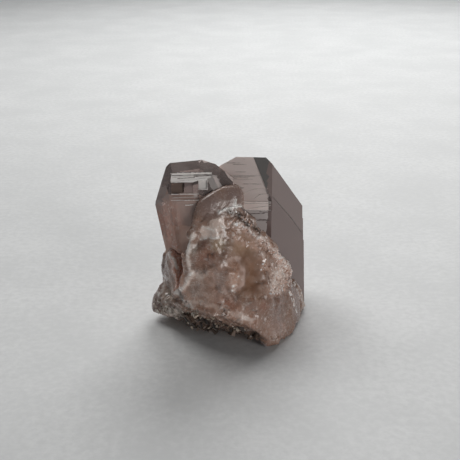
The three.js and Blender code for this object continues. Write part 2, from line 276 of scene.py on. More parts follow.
BIG_FRONT = Plane(-4, 0, (2.74, -1.87, 0))
BIG_RIGHT = Plane(56, 0, (13.22, 2.44, 0))
SIDE_FRONT = Plane(3.4, 26.5, (-12.7, -5.5, 40))
SIDE_BODY = Plane(-6.5, -8.6, (-13, -7.7, 35.6))
SIDE_CORNER = Plane(-40, -10, (-16.4, -4, 32.1))
SIDE_LEFT = Plane(-63, 22.4, (-12.6, -6.7, 37.7))
SIDE_RIGHT = Plane(49, 35.8, (-3.7, -5.2, 39.6))

# Painted sheen: the pale glow of the bright surroundings reflected in the facets, laid on as a flat tone.
PAINTED_SHEEN = (0.90, 0.78, 0.74)
PEWTER = (0.66, 0.61, 0.60)
MAUVE = (0.19, 0.135, 0.125)
# Painted reflection: the dark tone of the upper right of the tall crystal's front, where darker surroundings
# are mirrored.
PAINTED_DARK_REFLECTION = (0.10, 0.098, 0.094)
# Painted reflection: the white of the bright surroundings mirrored in the leaning crystal's upward steps.
PAINTED_WHITE_REFLECTION = (0.97, 0.94, 0.91)
TAN = (0.33, 0.215, 0.175)
UMBER = (0.13, 0.085, 0.06)
# Reddish brown, painted lighter to offset the shade that the broken mass and lobe cast on the leaning
# crystal's lower body.
COPPER = (0.66, 0.42, 0.32)
WINE = (0.15, 0.10, 0.092)


def patch(left: float, low: float, right: float, high: float) -> tuple[tuple[float, float], ...]:
    """The outline of an upright rectangle on a face."""
    return ((left, low), (right, low), (right, high), (left, high))


PANELS = (
    Panel(BIG_FRONT, ((-9, 31.7), (7.3, 31.7), (2.9, 42.6), (-9, 44)), PAINTED_SHEEN, 0.72),
    Panel(BIG_FRONT, patch(-9, 29.7, 7.7, 31.7), PAINTED_SHEEN, 0.9),
    Panel(BIG_FRONT, patch(-9, 10, 12, 29.7), PEWTER, 0.8),
    Panel(BIG_FRONT, ((7.3, 31.85), (12, 31.85), (12, 44), (2.9, 44), (2.9, 42.6)), PAINTED_DARK_REFLECTION, 0.94, 0.3),
    Panel(BIG_RIGHT, patch(-16, 0, 16, 45), MAUVE, 0.88),
    Panel(BIG_RIGHT, ((-16, 0), (16, 0), (16, 12), (10.6, 17.4), (3.1, 25.2), (-5.5, 33), (-16, 33)),
          WINE, 0.9),
    Panel(SIDE_FRONT, patch(0.1, -2.35, 9.3, -0.25), PAINTED_WHITE_REFLECTION, 1.0),
    Panel(SIDE_FRONT, patch(6.2, -4, 8.2, -2), PAINTED_WHITE_REFLECTION, 0.85),
    Panel(SIDE_FRONT, patch(0.1, -6.45, 6.3, -4.95), PAINTED_WHITE_REFLECTION, 0.5),
    Panel(SIDE_RIGHT, patch(-1.6, -4.6, 1.4, -0.8), PAINTED_WHITE_REFLECTION, 0.5),
    Panel(SIDE_LEFT, patch(-5, -6.5, -0.4, -1.5), PAINTED_SHEEN, 0.35),
    Panel(SIDE_BODY, patch(-2, -24, 14, 0), TAN, 0.8),
    Panel(SIDE_CORNER, patch(-3, -24, 8, 0), TAN, 0.7),
    # Painted light: the leaning crystal's lower body, toned lighter against the shade of the mass beside it.
    Panel(SIDE_BODY, patch(-2, -24, 14, -8), COPPER, 0.8),
    Panel(SIDE_CORNER, patch(-3, -24, 8, -8), COPPER, 0.8),
    Panel(SIDE_FRONT, patch(0.15, -4.7, 3, -2.5), UMBER, 0.86),
    Panel(SIDE_FRONT, patch(3.1, -4.8, 4.9, -2.4), MAUVE, 0.5),
)

PAINT: dict[Mask, tuple[Spot | Trail, ...]] = {
    Mask.HAZE: (
        Seen(SEEN_VEIN, 1.2, 1.0), Seen(SEEN_LIP, 1.2, 0.5), Seen(((-7, -10.6),), 1.8, 0.6),
        *(Seen(thread, 0.9, 0.6) for thread in SEEN_THREADS),
        Seen(((-14.5, -18.6), (-12.5, -19.4)), 2.2, 0.9),
        Seen(((11.3, -9.6), (10.6, -13.6)), 2.4, 0.7), Trail(BACK_FOOT, 4.5, 0.6),
    ),
    Mask.FROST: (
        Seen(((-5.4, -0.6), (-3.6, 0.3), (-2.6, 1.2)), 2.3, 1.0), Seen(((-4.4, 2), (-2.4, 2.4)), 1.0, 0.6),
    ),
    Mask.SNOW: (
        Seen(SEEN_CREST, 0.6, 1.0), Seen(((1.1, 5.4), (1.5, 7.2)), 0.6, 1.0), Seen(((-2.5, 4.1),), 0.7, 1.0),
        Seen(SEEN_VEIN, 0.6, 0.5), *(Seen(thread, 0.45, 0.7) for thread in SEEN_THREADS),
        Seen(((-6.6, -2), (-4.4, -1.9), (-2.6, -1.6)), 0.5, 1.0),
        Seen(((0.7, -13.2),), 0.5, 1.0), Seen(((2, -10.8),), 0.4, 1.0), Seen(((0.3, -14.1),), 0.4, 1.0),
        Seen(SEEN_RIM, 0.6, 0.3), Trail(SEAM, 0.7, 1.0),
        Seen(((1.8, -20.8), (3.6, -20.6), (5.6, -20.7)), 0.6, 0.35),
        Seen(((-1.9, 1.4), (-1.4, 0.2), (-0.7, -1.2)), 0.4, 0.8),
        Seen(((-6.3, 0.9), (-4.9, 0.2), (-3.5, -0.5)), 0.4, 0.8),
    ),
    # Dark stains on the crust, under it and on the back of the foot, and a dark slit low between the lobe and
    # the mass; the band along the crevice behind the rim is painted shade.
    Mask.STAIN: (
        Trail(UNDER_CRUST, 3.6, 1.0), Trail(CRUST, 2.4, 0.9), Trail(CREVICE, 1.2, 1.0),
        Trail(BACK_FOOT, 1.8, 0.7), Seen(((-11.4, -14.9), (-11.1, -15.9)), 0.7, 0.8),
    ),
    Mask.GOLD: (
        Seen(((3.4, -4),), 4.2, 1.0), Seen(((4.4, -7.2), (5, -10), (4.6, -13)), 3.6, 1.0),
    ),
    Mask.VEIL: (
        Trail(((-15.6, -4.6, 28), (-14, -5.6, 25), (-12.4, -6, 20), (-10.8, -9, 15)), 4.4, 1.0),
        Trail(((-13.5, -6.4, 32), (-12, -6.4, 28)), 3.6, 0.6),
    ),
    Mask.CRUST: (
        Trail(CRUST, 3.2, 1.0), Trail(UNDER_CRUST, 3.4, 0.9), Trail(BACK_FOOT, 3.6, 0.7),
    ),
    Mask.SPARKLE: (
        Seen(SEEN_RIM, 1.5, 1.0), Seen(SEEN_GLITTER, 1.3, 0.6), Seen(((11.3, -9.6), (10.6, -13.6)), 2.4, 0.7),
        Seen(((0.6, -12.6),), 1.6, 0.6), Trail(CREVICE, 1.6, 0.6), Seen(SEEN_VEIN, 0.8, 0.35),
        Trail(SEAM, 0.9, 1.0), Trail(LIP, 1.2, 0.3), Trail(RIM, 1.2, 0.5),
    ),
    Mask.LUMP: (
        Trail(((-17, -1.4, 4), (-14, -5, 5), (-11, -8.2, 6), (-8, -10.6, 7.6)), 3.6, 1.0),
        Trail(LIP, 1.0, 0.15), Trail(CRUST, 2.4, 0.5), Trail(BACK_FOOT, 2.0, 0.4),
    ),
    Mask.GLASSY: (
        Trail(((-15.2, -2.6, 20), (-16.4, -1, 12), (-18.6, 0.6, 6)), 3.8, 1.0),
        Trail(((16.8, -2, 10), (17.8, -2, 3)), 5.0, 1.0),
        Spot((-3.6, -9.4, 33.6), 4.6, 1.0), Spot((1.6, -7.2, 35), 4.2, 1.0), Spot((11.4, -10.4, 6), 5, 0.55),
    ),
}

COCOA = (0.34, 0.225, 0.18)
AMBER = (0.38, 0.225, 0.13)
EARTH = (0.25, 0.125, 0.068)
RUSSET = (0.36, 0.18, 0.13)
KHAKI = (0.50, 0.37, 0.26)
DUSK_ROSE = (0.56, 0.37, 0.30)
MALT = (0.235, 0.155, 0.128)
MOSS = (0.42, 0.345, 0.29)
PLUM = (0.32, 0.235, 0.225)
# Reddish brown painted brighter than the stone, to offset the shade over the leaning crystal's streak.
BRIGHT_RUSSET = (0.78, 0.47, 0.35)
BLOSSOM = (0.66, 0.45, 0.37)
PETAL = (0.80, 0.60, 0.53)
ROSE = (0.60, 0.37, 0.28)
SHELL = (0.72, 0.54, 0.46)
ASH = (0.56, 0.42, 0.36)

TINTS: tuple[tuple[Spot | Trail, Colour], ...] = (
    (Seen(((-8.2, -14.1),), 4.6, 0.9), ASH),
    (Seen(SEEN_LIP, 3.2, 0.6), ROSE),
    (Seen(((-5.7, -5.9),), 4.2, 1.0), RUSSET),
    (Seen(((-2.7, -3.1),), 3.0, 0.9), KHAKI),
    (Seen(((-3.5, -10),), 4.2, 0.9), DUSK_ROSE), (Seen(((-7, -10.6),), 2.2, 0.8), SHELL),
    (Seen(((-2.6, -16.4), (0.6, -17)), 2.6, 0.8), RUSSET),
    (Seen(((3.4, -4),), 5.0, 1.0), AMBER),
    (Seen(((4.4, -7.2), (5, -10), (4.4, -14)), 4.6, 1.0), EARTH),
    (Seen(((1.2, -8.9), (1.2, -12.4)), 2.6, 1.0), ROSE),
    (Seen(SEEN_RIM, 2.2, 0.8), ROSE), (Seen(SEEN_RIM, 1.2, 0.7), PETAL), (Seen(SEEN_GLITTER, 1.5, 0.7), ROSE),
    (Seen(((11.3, -9.6), (10.6, -13.6)), 2.8, 1.0), SHELL),
    (Seen(((11.6, -16.9),), 4.6, 0.8), MALT), (Seen(((7.8, -17.9),), 2.2, 0.8), RUSSET),
    (Seen(((10, -23.2),), 3.6, 0.7), DUSK_ROSE),
    (Seen(((-5.4, -0.5), (-3.6, 0.2), (-2.6, 1.0)), 2.8, 1.0), SHELL),
    (Spot((-3, -9.4, 34), 6, 1.0), COCOA),
    (Seen(((-8.5, -4.6),), 2.6, 0.8), MOSS),
    (Seen(((-15.3, -9),), 3.6, 0.9), PLUM), (Seen(((-14.5, -15.2),), 3.0, 0.9), MOSS),
    (Seen(((-17.4, -18),), 3.0, 0.9), PLUM),
    # Painted light: the streak on the leaning crystal is toned brighter to lift it out of shade.
    (Seen(((-12.2, -5.3), (-11.7, -9), (-11.7, -12.6)), 1.8, 1.0), BRIGHT_RUSSET),
    (Seen(SEEN_VEIN, 1.3, 1.0), PETAL),
    (Seen(((-7.4, 1.2),), 2.4, 0.7), DUSK_ROSE),
    (Seen(((-3.5, -14.4),), 3.6, 0.8), BLOSSOM),
    (Seen(((-0.4, -6.9), (0.6, -6.5), (2.2, -6.5), (2.6, -6.9)), 0.6, 0.7), PETAL),
    (Seen(((-1, -8.4), (0, -7.3), (1.5, -7.2), (2.5, -7.5)), 0.55, 0.6), PETAL),
    (Seen(((2.5, -8.4), (3, -10), (3, -11.9), (2.2, -13.5), (0.9, -14.1)), 0.6, 0.7), PETAL),
    (Seen(((-1, -14.1), (-0.7, -15.4), (0.3, -16.6), (1.5, -16.6), (1.2, -15.4)), 0.6, 0.6), PETAL),
    (Seen(((2.7, -6.6), (2.8, -8.4)), 0.7, 0.7), EARTH),
)


def wandering(points: np.ndarray, size: float = 1.7, reach: float = 0.5) -> np.ndarray:
    """Drawn points moved a little by noise, so that what is painted over them has uneven edges.

    Args:
        points: Drawn places in millimetres.
        size: The size of the noise's features, in millimetres.
        reach: About how far a point moves, in millimetres.

    Returns:
        The moved places.
    """
    shifts = [
        noise.noise_vector(place / size) * reach + noise.noise_vector(place * 3.1 / size) * (0.4 * reach)
        for place in map(Vector, points)
    ]
    return points + np.array(shifts)


def painted(mask: Mask, points: np.ndarray) -> np.ndarray:
    """How strongly a mask's patches and bands cover each drawn point, together.

    Args:
        mask: The mask.
        points: Drawn places in millimetres.

    Returns:
        The cover at each point, 0 to 1.
    """
    bare = np.ones(len(points))
    for piece in PAINT[mask]:
        bare *= 1 - np.clip(piece.weight(points), 0, 1)
    return 1 - bare


class Draw(Enum):
    """The seeds of the random values, one for each use."""

    THICKNESS = 4
    TONE = 5
    SPIN = 7
    SIZE = 9
    STRETCH = 11
    KIND = 13
    BENT = 21


class Surface(Enum):
    """What a stretch of the skin is."""

    CRYSTAL = 0
    BROKEN = 1
    UNDERSIDE = 2


@dataclass
class QuartzBody:
    """The whole specimen's skin: flat crystal faces, and broken stretches worked much finer."""

    weld: float = 0.0002
    skin_weld: float = 0.002
    underside_height: float = 0.1
    underside_tilt: float = 0.99
    floor_gap: float = 0.03
    sliver_share: float = 0.6
    long_edge: float = 1.4
    flat_turn: float = 1.0
    flat_depth: float = 0.003
    wall_slack: float = 0.004
    crystal_area: float = 2.4
    crystal_edge: float = 1.2
    grid: float = 0.24
    core_sink: float = 0.6
    crust_sink: float = 0.3
    overlap: float = 0.12
    relax_rounds: int = 10
    feather_rounds: int = 3
    ridge_size: float = 3.6
    ridge_rise: float = 0.1
    scoop_size: float = 2.5
    scoop_rise: float = 0.4
    facet_size: float = 1.05
    facet_rise: float = 0.5
    grit_size: float = 0.55
    grit_rise: float = 0.12
    ripple_centre: Point = (1.4, -13.6, 18.8)
    ripple_gap: float = 1.2
    ripple_rise: float = 0.03
    ripple_reach: float = 7.0
    vein_rise: float = 0.7
    sharp_turn: float = 34.0
    wedge_foot: float = 32.6
    wedge_run: float = 1.6
    wedge_calm: float = 0.93
    gold_calm: float = 0.94
    glassy_calm: float = 0.7
    relief_rounds: int = 12
    relief_depth: float = 0.22

    def build(self) -> bpy.types.Object:
        """Makes the finer skin around the CAD solid.

        Returns:
            The specimen as one object.
        """
        solid = self._merged()
        kinds = self._kinds(solid)
        crust = self._crust(solid, kinds)
        core = self._core(solid, kinds)
        return self._finished(self._joined(core, crust))

    def _merged(self) -> bmesh.types.BMesh:
        """Merges the shared corners of the CAD solid's triangles.

        Returns:
            The merged solid.
        """
        solid = bmesh.new()
        solid.from_mesh(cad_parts[NODE].data)
        bmesh.ops.remove_doubles(solid, verts=solid.verts, dist=self.weld * MM)
        solid.normal_update()
        return solid

    def _flats(self, solid: bmesh.types.BMesh) -> list[list[bmesh.types.BMFace]]:
        """Groups the solid's faces into flat stretches, grown from the largest faces first.

        Args:
            solid: The merged solid.

        Returns:
            Each stretch's faces, its largest first.
        """
        seen: set[bmesh.types.BMFace] = set()
        flats = []
        limit = math.cos(math.radians(self.flat_turn))
        for start in sorted(solid.faces, key=lambda face: -face.calc_area()):
            if start in seen:
                continue
            seen.add(start)
            flat, queue = [start], [start]
            while queue:
                around = {other for edge in queue.pop().edges for other in edge.link_faces}
                for other in around - seen:
                    drop = max(abs(start.normal.dot(v.co - start.verts[0].co)) for v in other.verts)
                    if other.normal.dot(start.normal) > limit and drop < self.flat_depth * MM:
                        seen.add(other)
                        flat.append(other)
                        queue.append(other)
            flats.append(flat)
        return flats

    def _kinds(self, solid: bmesh.types.BMesh) -> bmesh.types.BMLayerItem:
        """Sorts the solid's faces into crystal faces, broken stretches and the underside.

        Args:
            solid: The merged solid.

        Returns:
            The face layer that holds each face's kind.
        """
        layer = solid.faces.layers.int.new("kind")
        flats = self._flats(solid)
        for flat in flats:
            facing_down = flat[0].normal.z < -self.underside_tilt
            low = facing_down and flat[0].calc_center_median().z < self.underside_height * MM
            large = sum(face.calc_area() for face in flat) > self.crystal_area * MM ** 2
            kind = (Surface.UNDERSIDE if low else Surface.CRYSTAL) if large else Surface.BROKEN
            for face in flat:
                face[layer] = kind.value
        for flat in 2 * [flat for flat in flats if flat[0][layer] == Surface.BROKEN.value]:
            if self._belongs(flat, layer):
                for face in flat:
                    face[layer] = Surface.CRYSTAL.value
        return layer

    def _belongs(self, flat: list[bmesh.types.BMFace], layer: bmesh.types.BMLayerItem) -> bool:
        """Whether a small flat stretch is a growth step's wall or a sliver of a crystal face.

        Args:
            flat: The stretch's faces.
            layer: The face layer that holds each face's kind.

        Returns:
            True if it belongs to the crystal.
        """
        inside, rim, shared, wall = set(flat), 0.0, 0.0, False
        for face in flat:
            for edge in face.edges:
                for other in set(edge.link_faces) - inside:
                    length = edge.calc_length()
                    rim += length
                    if other[layer] == Surface.CRYSTAL.value:
                        shared += length
                        wall = wall or abs(other.normal.dot(face.normal)) < self.wall_slack
        return shared > self.sliver_share * rim or (wall and len(flat) > 1)

    def _core(self, solid: bmesh.types.BMesh, kinds: bmesh.types.BMLayerItem) -> bpy.types.Object:
        """The solid with its crystal faces as they are and its broken stretches sunk.

        Args:
            solid: The merged solid, which is used up.
            kinds: The face layer that holds each face's kind.

        Returns:
            The core, as an object.
        """
        broken = Surface.BROKEN.value
        for vert in solid.verts:
            if all(face[kinds] == broken for face in vert.link_faces):
                vert.co -= vert.normal * self.core_sink * MM
        while True:
            long = [
                edge for edge in solid.edges
                if edge.calc_length() > self.long_edge * self.crystal_edge * MM
                and any(face[kinds] != broken for face in edge.link_faces)
            ]
            if not long:
                break
            bmesh.ops.subdivide_edges(solid, edges=long, cuts=1, use_grid_fill=False)
            many = [face for face in solid.faces if len(face.verts) > 3]
            bmesh.ops.triangulate(solid, faces=many, quad_method="SHORT_EDGE", ngon_method="BEAUTY")
        for face in solid.faces:
            face.smooth = False
        mesh = bpy.data.meshes.new("core")
        solid.to_mesh(mesh)
        solid.free()
        return linked("core", mesh)

    def _crust(self, solid: bmesh.types.BMesh, kinds: bmesh.types.BMLayerItem) -> bpy.types.Object:
        """An even fine grid over the solid, worked where it is broken and sunk elsewhere.

        Args:
            solid: The merged solid.
            kinds: The face layer that holds each face's kind.

        Returns:
            The crust, as an object.
        """
        mesh = bpy.data.meshes.new("crust")
        solid.to_mesh(mesh)
        crust = linked("crust", mesh)
        remesh = crust.modifiers.new("grid", "REMESH")
        remesh.mode = "VOXEL"
        remesh.voxel_size = self.grid * MM
        settle(crust)
        mesh = crust.data
        places = coordinates(mesh)
        tree = BVHTree.FromBMesh(solid)
        solid.faces.ensure_lookup_table()
        nearest = [tree.find_nearest(Vector(place))[2] for place in places]
        kind = np.array([solid.faces[i][kinds] for i in nearest])
        broken = (kind == Surface.BROKEN.value).astype(float)
        net = Net(mesh)
        share = net.smoothed(broken[:, None], self.feather_rounds)[:, 0]
        places = net.smoothed(places, self.relax_rounds)
        write(mesh, places)
        normals = outward(mesh)
        rise = self._rise(drawn(places), share)
        rise = share * (rise + self.overlap) - (1 - share) * self.crust_sink
        places = places + normals * rise[:, None] * MM
        places[:, 2] = np.maximum(places[:, 2], self.floor_gap * MM)
        write(mesh, places)
        for polygon in mesh.polygons:
            polygon.use_smooth = True
        return crust

    def _rise(self, points: np.ndarray, share: np.ndarray) -> np.ndarray:
        """The height of the ridges, scoops, facets, grit and ripples.

        Args:
            points: Drawn places in millimetres.
            share: How broken the surface is at each, 0 where nothing is worked.

        Returns:
            The rise at each place, in millimetres.
        """
        gold = painted(Mask.GOLD, points)
        frost = painted(Mask.FROST, points)
        crust = np.maximum(painted(Mask.CRUST, points), painted(Mask.SPARKLE, points))
        glassy = painted(Mask.GLASSY, points)
        calm = 1 - self.gold_calm * np.maximum(gold, 0.5 * frost)
        calm = np.minimum(calm, 1 - self.glassy_calm * glassy * (1 - crust))
        away = np.linalg.norm(points - np.array(self.ripple_centre), axis=1)
        ring = np.sin(away * math.tau / self.ripple_gap) * mound(away, self.ripple_reach)
        wedge = np.clip((points[:, 2] - self.wedge_foot) / self.wedge_run, 0, 1)
        rise = np.zeros(len(points))
        for i in np.flatnonzero(share > 0):
            place = Vector(points[i])
            ridges = 0.5 - 1.8 * abs(noise.noise(place / self.ridge_size))
            finer = 0.4 - 1.6 * abs(noise.noise(place * 2.4 / self.ridge_size))
            height = self.ridge_rise * (ridges + 0.5 * finer) * calm[i]
            height += self.scoop_rise * chipped(place / self.scoop_size, 0.8) * calm[i]
            height -= self.facet_rise * chipped(place / self.facet_size, 0) * max(crust[i], 0.16 * calm[i])
            height += self.grit_rise * noise.noise(place / self.grit_size) * (0.05 * calm[i] + crust[i])
            rise[i] = height * (1 - self.wedge_calm * wedge[i])
        return rise + self.ripple_rise * ring + self.vein_rise * Trail(VEIN, 2.2).weight(points)

    def _joined(self, core: bpy.types.Object, crust: bpy.types.Object) -> bpy.types.Mesh:
        """Joins the core and the crust in one closed skin.

        Args:
            core: The core, which keeps material slot 0.
            crust: The crust, which takes material slot 1.

        Returns:
            The skin, whose material slots say what each face came from.
        """
        for piece, slot in ((core, 0), (crust, 1)):
            for name in ("from_core", "from_crust"):
                piece.data.materials.append(bpy.data.materials.get(name) or bpy.data.materials.new(name))
            piece.data.polygons.foreach_set("material_index", [slot] * len(piece.data.polygons))
        union = core.modifiers.new("union", "BOOLEAN")
        union.operation = "UNION"
        union.solver = "MANIFOLD"
        union.object = crust
        settle(core)
        skin = core.data
        bpy.data.objects.remove(crust)
        bpy.data.objects.remove(core)
        return skin

    def _finished(self, skin: bpy.types.Mesh) -> bpy.types.Object:
        """Gives the skin its sharp edges, its tones and its masks.

        Args:
            skin: The joined skin.

        Returns:
            The finished object.
        """
        self._weld(skin)
        crusted = np.array([polygon.material_index for polygon in skin.polygons])
        skin.set_sharp_from_angle(angle=math.radians(self.sharp_turn))
        skin.polygons.foreach_set("use_smooth", crusted.astype(bool))
        skin.polygons.foreach_set("material_index", [0] * len(skin.polygons))
        skin.materials.clear()
        self._tone(skin, crusted)
        self._paint(skin)
        skin.name = "quartz_body"
        return linked(skin.name, skin)

    def _weld(self, skin: bpy.types.Mesh) -> None:
        """Merges corners that all but touch, and logs how many edges don't have just two faces.

        Args:
            skin: The joined skin.
        """
        worked = bmesh.new()
        worked.from_mesh(skin)
        bmesh.ops.remove_doubles(worked, verts=worked.verts, dist=self.skin_weld * MM)
        bmesh.ops.triangulate(worked, faces=[f for f in worked.faces if len(f.verts) > 4])
        odd_edges = sum(not edge.is_manifold for edge in worked.edges)
        log.info("skin: %d faces, %d edges without just two faces", len(worked.faces), odd_edges)
        worked.to_mesh(skin)
        worked.free()

    def _tone(self, skin: bpy.types.Mesh, crusted: np.ndarray) -> None:
        """Stores which faces are broken, and the panels' tones on the others.

        Args:
            skin: The welded skin.
            crusted: 1 for each face that came from the crust, 0 for the others.
        """
        middles = drawn(np.array([polygon.center for polygon in skin.polygons]))
        tones = np.zeros((len(middles), 4))
        for panel in PANELS:
            tones[panel.covers(middles) & (crusted == 0)] = (*panel.tone, panel.share)
        sides = [len(polygon.vertices) for polygon in skin.polygons]
        for name, values in ((Mask.BROKEN.value, crusted), (TONE, tones), (TONED, tones[:, 3])):
            store(skin, name, np.repeat(values, sides, axis=0), "CORNER")

    def _paint(self, skin: bpy.types.Mesh) -> None:
        """Stores the tint, how proud each point stands of its surroundings, and the masks.

        Args:
            skin: The welded skin.
        """
        points = wandering(drawn(coordinates(skin)))
        tint = np.tile(np.array(COCOA), (len(points), 1))
        for piece, tone in TINTS:
            share = np.clip(piece.weight(points), 0, 1)[:, None]
            tint = tint * (1 - share) + np.array(tone) * share
        corners = np.empty(len(skin.loops), np.int32)
        skin.loops.foreach_get("vertex_index", corners)
        store(skin, TINT, np.column_stack((tint, np.ones(len(points))))[corners], "CORNER")
        # How proud each point stands: from it the shader paints highlights on the proud points and shade in
        # the low ones.
        lower = coordinates(skin) - Net(skin).smoothed(coordinates(skin), self.relief_rounds)
        proud = np.einsum("ij,ij->i", lower, outward(skin)) / (self.relief_depth * MM)
        store(skin, RELIEF, np.clip(0.5 + 0.5 * proud, 0, 1))
        for mask in PAINT:
            store(skin, mask.value, painted(mask, points))


def chipped(place: Vector, hollow: float) -> float:
    """The rise of chips around scattered middles, each tilted its own way, that meet in ridges.

    Args:
        place: The place, in chip sizes.
        hollow: How hollow each chip is, 0 for flat facets.

    Returns:
        The lowest chip's height there, about -1 to 1.
    """
    best = math.inf
    for middle in noise.voronoi(place)[1]:
        tilt = noise.cell_vector(middle * 7.3) * 1.6 - Vector((0.8, 0.8, 0.8))
        from_middle = place - middle
        height = tilt.dot(from_middle) + hollow * from_middle.length_squared
        best = min(best, height + 0.6 * noise.cell(middle * 3.1) - 0.3)
    return best


class Tree:
    """A Geometry Nodes tree while it is being built."""

    def __init__(self, name: str, inputs: dict[str, tuple[str, object]]) -> None:
        """Starts a tree that takes a mesh and gives a mesh.

        Args:
            name: The tree's name.
            inputs: Each further input's socket type and value, by name.
        """
        self.group = bpy.data.node_groups.new(name, "GeometryNodeTree")
        face = self.group.interface
        face.new_socket("Mesh", in_out="INPUT", socket_type="NodeSocketGeometry")
        face.new_socket("Mesh", in_out="OUTPUT", socket_type="NodeSocketGeometry")
        for label, (kind, _) in inputs.items():
            face.new_socket(label, in_out="INPUT", socket_type=kind)
        self.values = {label: value for label, (_, value) in inputs.items()}
        self.start = self.group.nodes.new("NodeGroupInput")
        self.end = self.group.nodes.new("NodeGroupOutput")

    def node(self, kind: str, sockets: dict | None = None, output: int | str = 0,
             **settings: object) -> bpy.types.NodeSocket:
        """Adds a node.

        Args:
            kind: The node's type.
            sockets: Values or other nodes' outputs for its inputs, by name or number.
            output: Which of its outputs is wanted, by name or number.
            **settings: The node's own settings.

        Returns:
            The wanted output.
        """
        made = self.group.nodes.new(kind)
        for name, value in settings.items():
            setattr(made, name, value)
        for name, value in (sockets or {}).items():
            for one in value if isinstance(value, list) else [value]:
                if isinstance(one, bpy.types.NodeSocket):
                    self.group.links.new(one, made.inputs[name])
                else:
                    made.inputs[name].default_value = one
        return made.outputs[output]

    def random(self, low: Feed, high: Feed, seed: int, kind: str = "FLOAT") -> bpy.types.NodeSocket:
        """A random value between two others for each element.

        Args:
            low: The least value.
            high: The greatest value.
            seed: The draw's own seed.
            kind: The values' type.

        Returns:
            The random value.
        """
        first = {"FLOAT_VECTOR": 0, "FLOAT": 2, "INT": 4}[kind]
        drawn = {"FLOAT_VECTOR": 0, "FLOAT": 1, "INT": 2}[kind]
        return self.node("FunctionNodeRandomValue", {first: low, first + 1: high, "Seed": seed}, drawn,
                         data_type=kind)

    def times(self, first: Feed, second: Feed) -> bpy.types.NodeSocket:
        """Two numbers multiplied."""
        return self.node("ShaderNodeMath", {0: first, 1: second}, operation="MULTIPLY")

    def named(self, name: str) -> bpy.types.NodeSocket:
        """A named number that the mesh carries."""
        return self.node("GeometryNodeInputNamedAttribute", {"Name": name}, data_type="FLOAT")

    def finish(self, mesh: bpy.types.NodeSocket) -> None:
        """Makes the instances real, gives them the material and closes the tree.

        Args:
            mesh: What the tree has made.
        """
        real = self.node("GeometryNodeRealizeInstances", {"Geometry": mesh})
        dressed = self.node("GeometryNodeSetMaterial", {
            "Geometry": real, "Material": self.start.outputs["Material"],
        })
        self.group.links.new(dressed, self.end.inputs["Mesh"])

    def run(self, piece: bpy.types.Object) -> None:
        """Works the tree on a piece and keeps the result as its plain mesh.

        Args:
            piece: The piece.
        """
        modifier = piece.modifiers.new(self.group.name, "NODES")
        modifier.node_group = self.group
        for item in self.group.interface.items_tree:
            if item.in_out == "INPUT" and item.name in self.values:
                modifier[item.identifier] = self.values[item.name]
        settle(piece)


